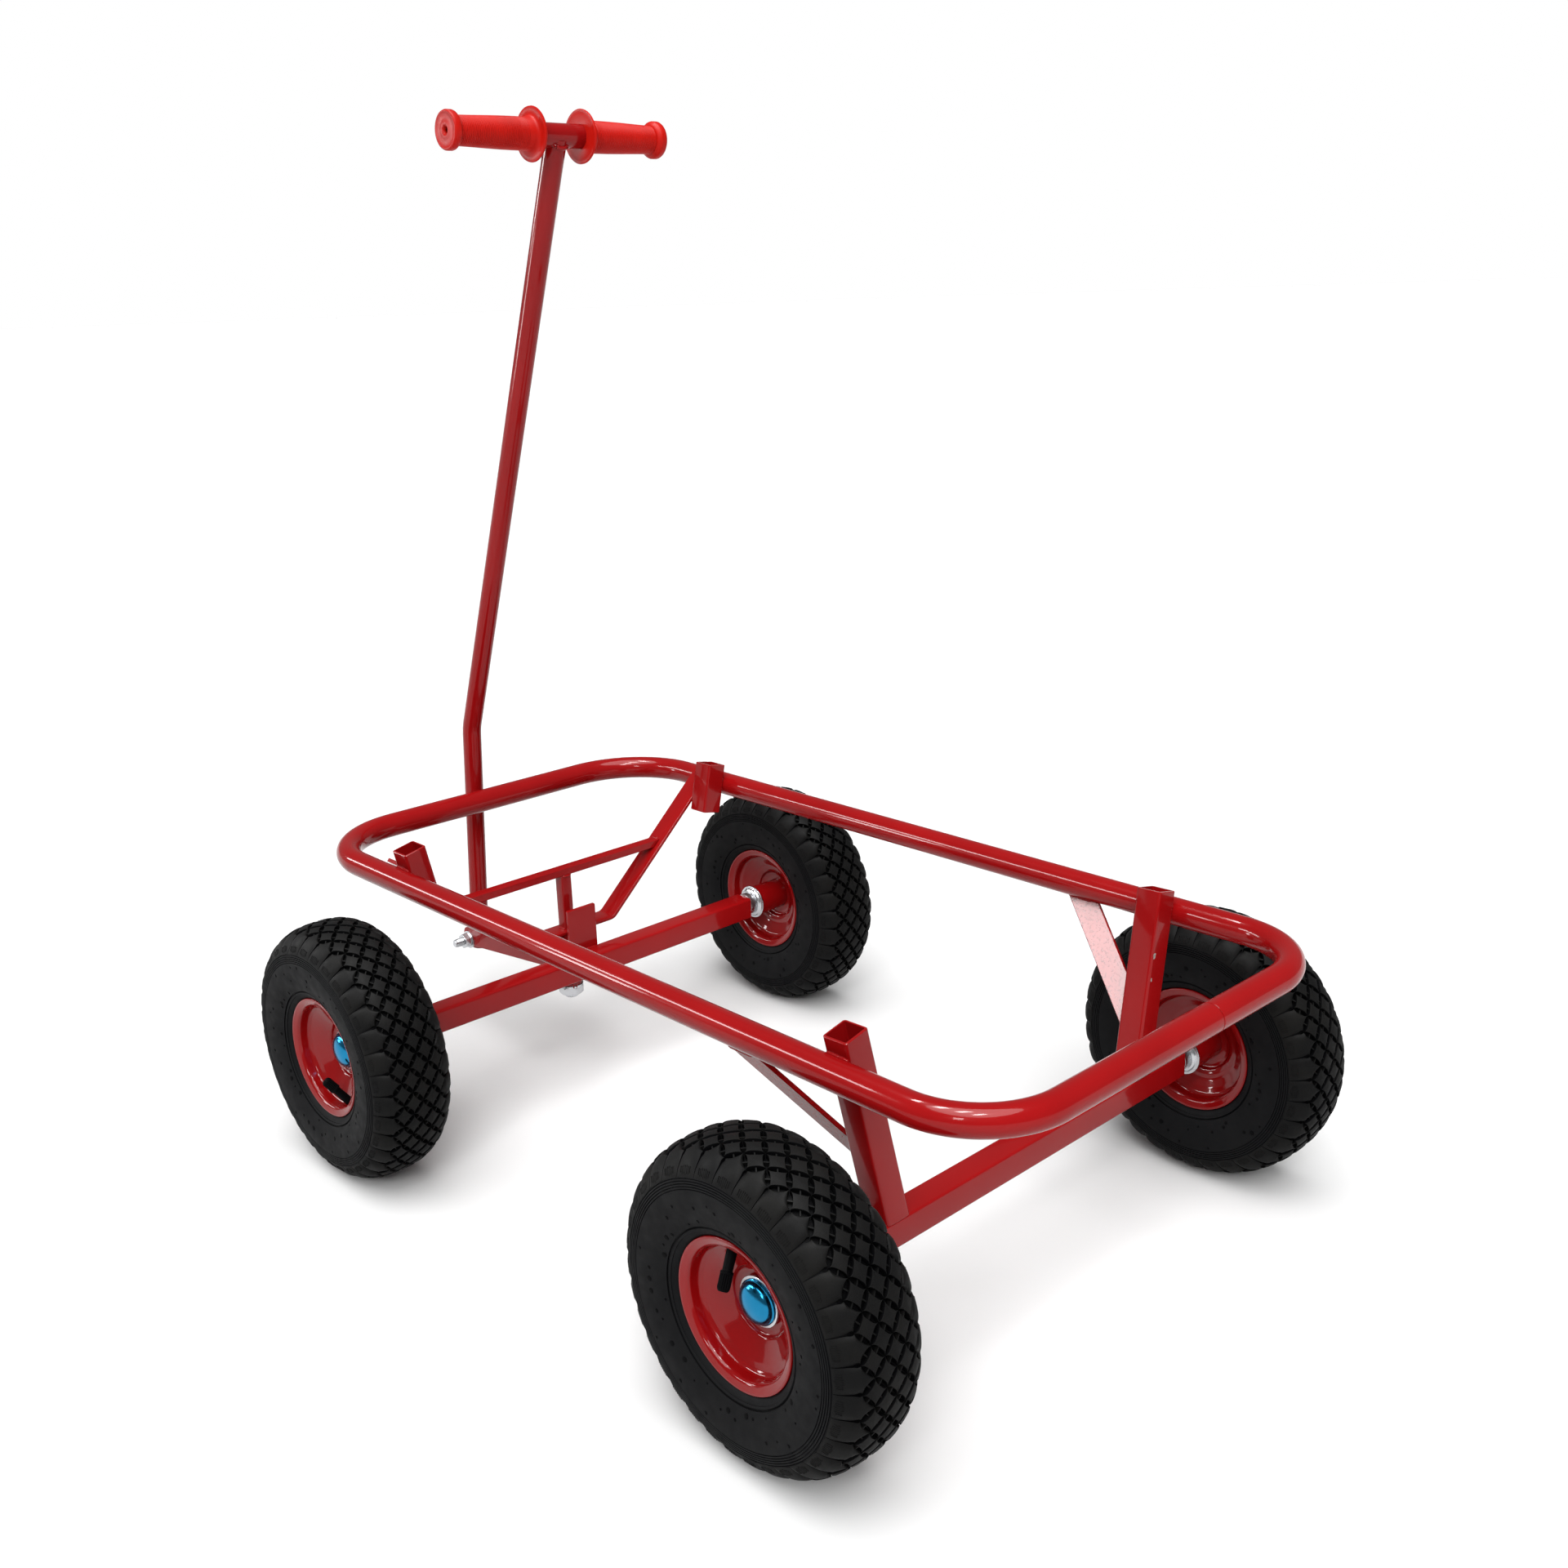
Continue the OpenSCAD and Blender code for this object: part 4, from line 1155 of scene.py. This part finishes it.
def rim_shape(face_w):
    """One stamped rim half: rolled flange, bead seat, well and dished disc."""
    ridge = face_w + 4
    front = [(49.4, 0.5), (49.4, 13.5), (54.4, 19.5), (54.4, 30.3), (60.0, 31.0), (60.7, 32.2),
             (60.2, 33.5), (58.6, 33.5), (53.4, 31.6), (51.8, 29.0), (51.6, 21.5), (48.6, 19.0),
             (44.0, 16.9), (36.5, 12.9), (32.2, ridge + 2.2), (28.2, ridge + 0.2),
             (26.9, face_w + 1.2), (23.2, face_w + 0.1), (21.6, face_w), (17.55, face_w)]
    back = [(17.55, face_w - 2.4), (23.2, face_w - 2.4), (28.0, face_w), (33.0, ridge - 0.4),
            (40.8, 12.0), (46.8, 14.6), (47.4, 0.5)]
    # A fillet radius for each point of front, then of back.
    radii = [0, 1, 2, 2, 1, 1, 0.8, 2.5, 3.5, 4, 5, 5, 30, 30, 8, 3, 3, 4, 1, 0]
    radii += [0, 4, 4, 8, 20, 2, 0]
    return Shape().lathe(fillet(front + back, radii, 5), 128)


def valve_shape():
    """Rubber stem along Z with a ribbed cap: (height, radius, depth of the ribs)."""
    rings = []
    for z, r, ripple in ((-8, 3.8, 0), (0, 4.2, 0), (17.2, 3.9, 0), (18.2, 4.1, 0),
                         (18.6, 5.0, 0), (19.9, 5.0, 0.0), (20.5, 4.5, 0.35),
                         (30, 4.5, 0.35), (31.4, 4.2, 0.2), (32.7, 3.4, 0), (33, 0.3, 0)):
        rings.append([((r + ripple * math.cos(16 * a)) * math.cos(a),
                       (r + ripple * math.cos(16 * a)) * math.sin(a), z)
                      for a in (2 * math.pi * i / 96 for i in range(96))])
    return Shape().rings(rings)


def wheels():
    """The four wheels and what holds them on their axles."""
    lo, hi = box("hub_rl")
    hub_in, hub_out = TRACK - lo.y, hi.y - TRACK
    hub = fillet([(14, -hub_in), (17.5, -hub_in), (17.5, hub_out), (14, hub_out)], 0.7, 3)
    parts = (
        ("carcass", carcass(), TYRE, "black_tyre", "tyre"),
        ("tread", tread(), TREAD, "black_tyre", None),
        ("nubs", vent_nubs(), RUBBER_AND_GROOVE_SHADE, "black_tyre", None),
        ("rim_face", rim_shape(4.5), RED_RIM_SHADED, "red_rim", "rim_outer"),
        ("rim_back", rim_shape(6).moved(turn(180)), RED_RIM_SHADED, "red_rim", "rim_inner"),
        ("hub_tube", Shape().lathe(hub, 72), RED_RIM_SHADED, "red_rim", "hub"),
    )
    for w in WHEELS:
        x = X_REAR if w[0] == "r" else X_FRONT
        side = 1 if w[1] == "l" else -1
        place = shift(x, side * TRACK, AXLE_Z) @ turn(-90 * side)
        for part, shape, mat, slot, node in parts:
            copy = Shape().add(shape).moved(place @ turn(z=-side * SPIN[w]))
            piece(f"{part}_{w}", copy, mat, f"wheel_{w}",
                  [f"{node}_{w}"] if node else ())
        stem = valve_shape().moved(place @ turn(z=-side * VALVE_AT[w]) @ shift(49, 0, 20.5)
                                   @ turn(0, -58))
        piece(f"valve_stem_{w}", stem, RUBBER_AND_GROOVE_SHADE, f"wheel_{w}", [f"valve_{w}"])
    for axle, x, body in (("rear", X_REAR, "chassis"), ("front", X_FRONT, "steering")):
        hub_furniture(axle, x, body)


# Where the parts on an axle begin, from the wagon's middle.
SPACER_Y, CUP_Y, WASHER_Y, CAP_Y = 232, 241.1, 299.1, 301.1


def hub_furniture(axle, x, body):
    """Spacers, cupped and outer washers, and the domed caps of one axle."""
    lo, hi = box(f"{axle}_caps")
    cap_h, cap_r = hi.y - CAP_Y, (hi.z - lo.z) / 2
    bore = 8.05
    washers, caps = Shape(), Shape()
    for side in (1, -1):
        def at(y):
            return shift(x, side * y, AXLE_Z) @ turn(-90 * side)
        washers.add(ring_shape(13, bore, CUP_Y - SPACER_Y).moved(at(SPACER_Y)))
        cup = fillet([(bore, 0), (14.2, 0), (16, 1.2), (17, 2.9), (19.5, 3.4), (19.5, 5),
                      (bore, 5)], [0, 0.8, 1.5, 1, 0.7, 0.4, 0], 4)
        washers.add(Shape().lathe(cup, 72).moved(at(CUP_Y)))
        washers.add(ring_shape(20, bore, CAP_Y - WASHER_Y).moved(at(WASHER_Y)))
        n = 14
        dome = [(0, 0.2), (15.4, 0.2), (15.8, 0), (cap_r - 0.3, 0), (cap_r, 0.4), (cap_r, 1.3),
                (cap_r - 0.5, 1.7), (cap_r - 1.1, 1.9)]
        dome += [((cap_r - 1.3) * math.cos(i * math.pi / 2 / n),
                  2.2 + (cap_h - 2.2) * math.sin(i * math.pi / 2 / n)) for i in range(n + 1)]
        caps.add(Shape().lathe(dome, 72).moved(at(CAP_Y)))
    piece(f"{axle}_hub_washers", washers, ZINC, body, [f"{axle}_washers"])
    piece(f"{axle}_hub_caps", caps, BLUE, body, [f"{axle}_caps"])


# The looks of the CAD nodes that stay, by the first word found in a node's name.
NODE_PAINT = (("bearings", ZINC), ("axle_stubs", ZINC), ("washer", ZINC), ("pivot", ZINC),
              ("", RED))


def main():
    """Builds every piece, then gives the CAD nodes that stay their looks."""
    place_camera()
    stage()
    rail()
    posts()
    braces()
    beams()
    hanger()
    tongue()
    chassis_welds()
    steering_welds()
    tee_weld()
    paint_chips()
    fasteners()
    handle()
    wheels()
    for name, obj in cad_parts.items():
        mat = next(m for word, m in NODE_PAINT if word in name)
        for slot in obj.material_slots:
            slot.material = mat


main()
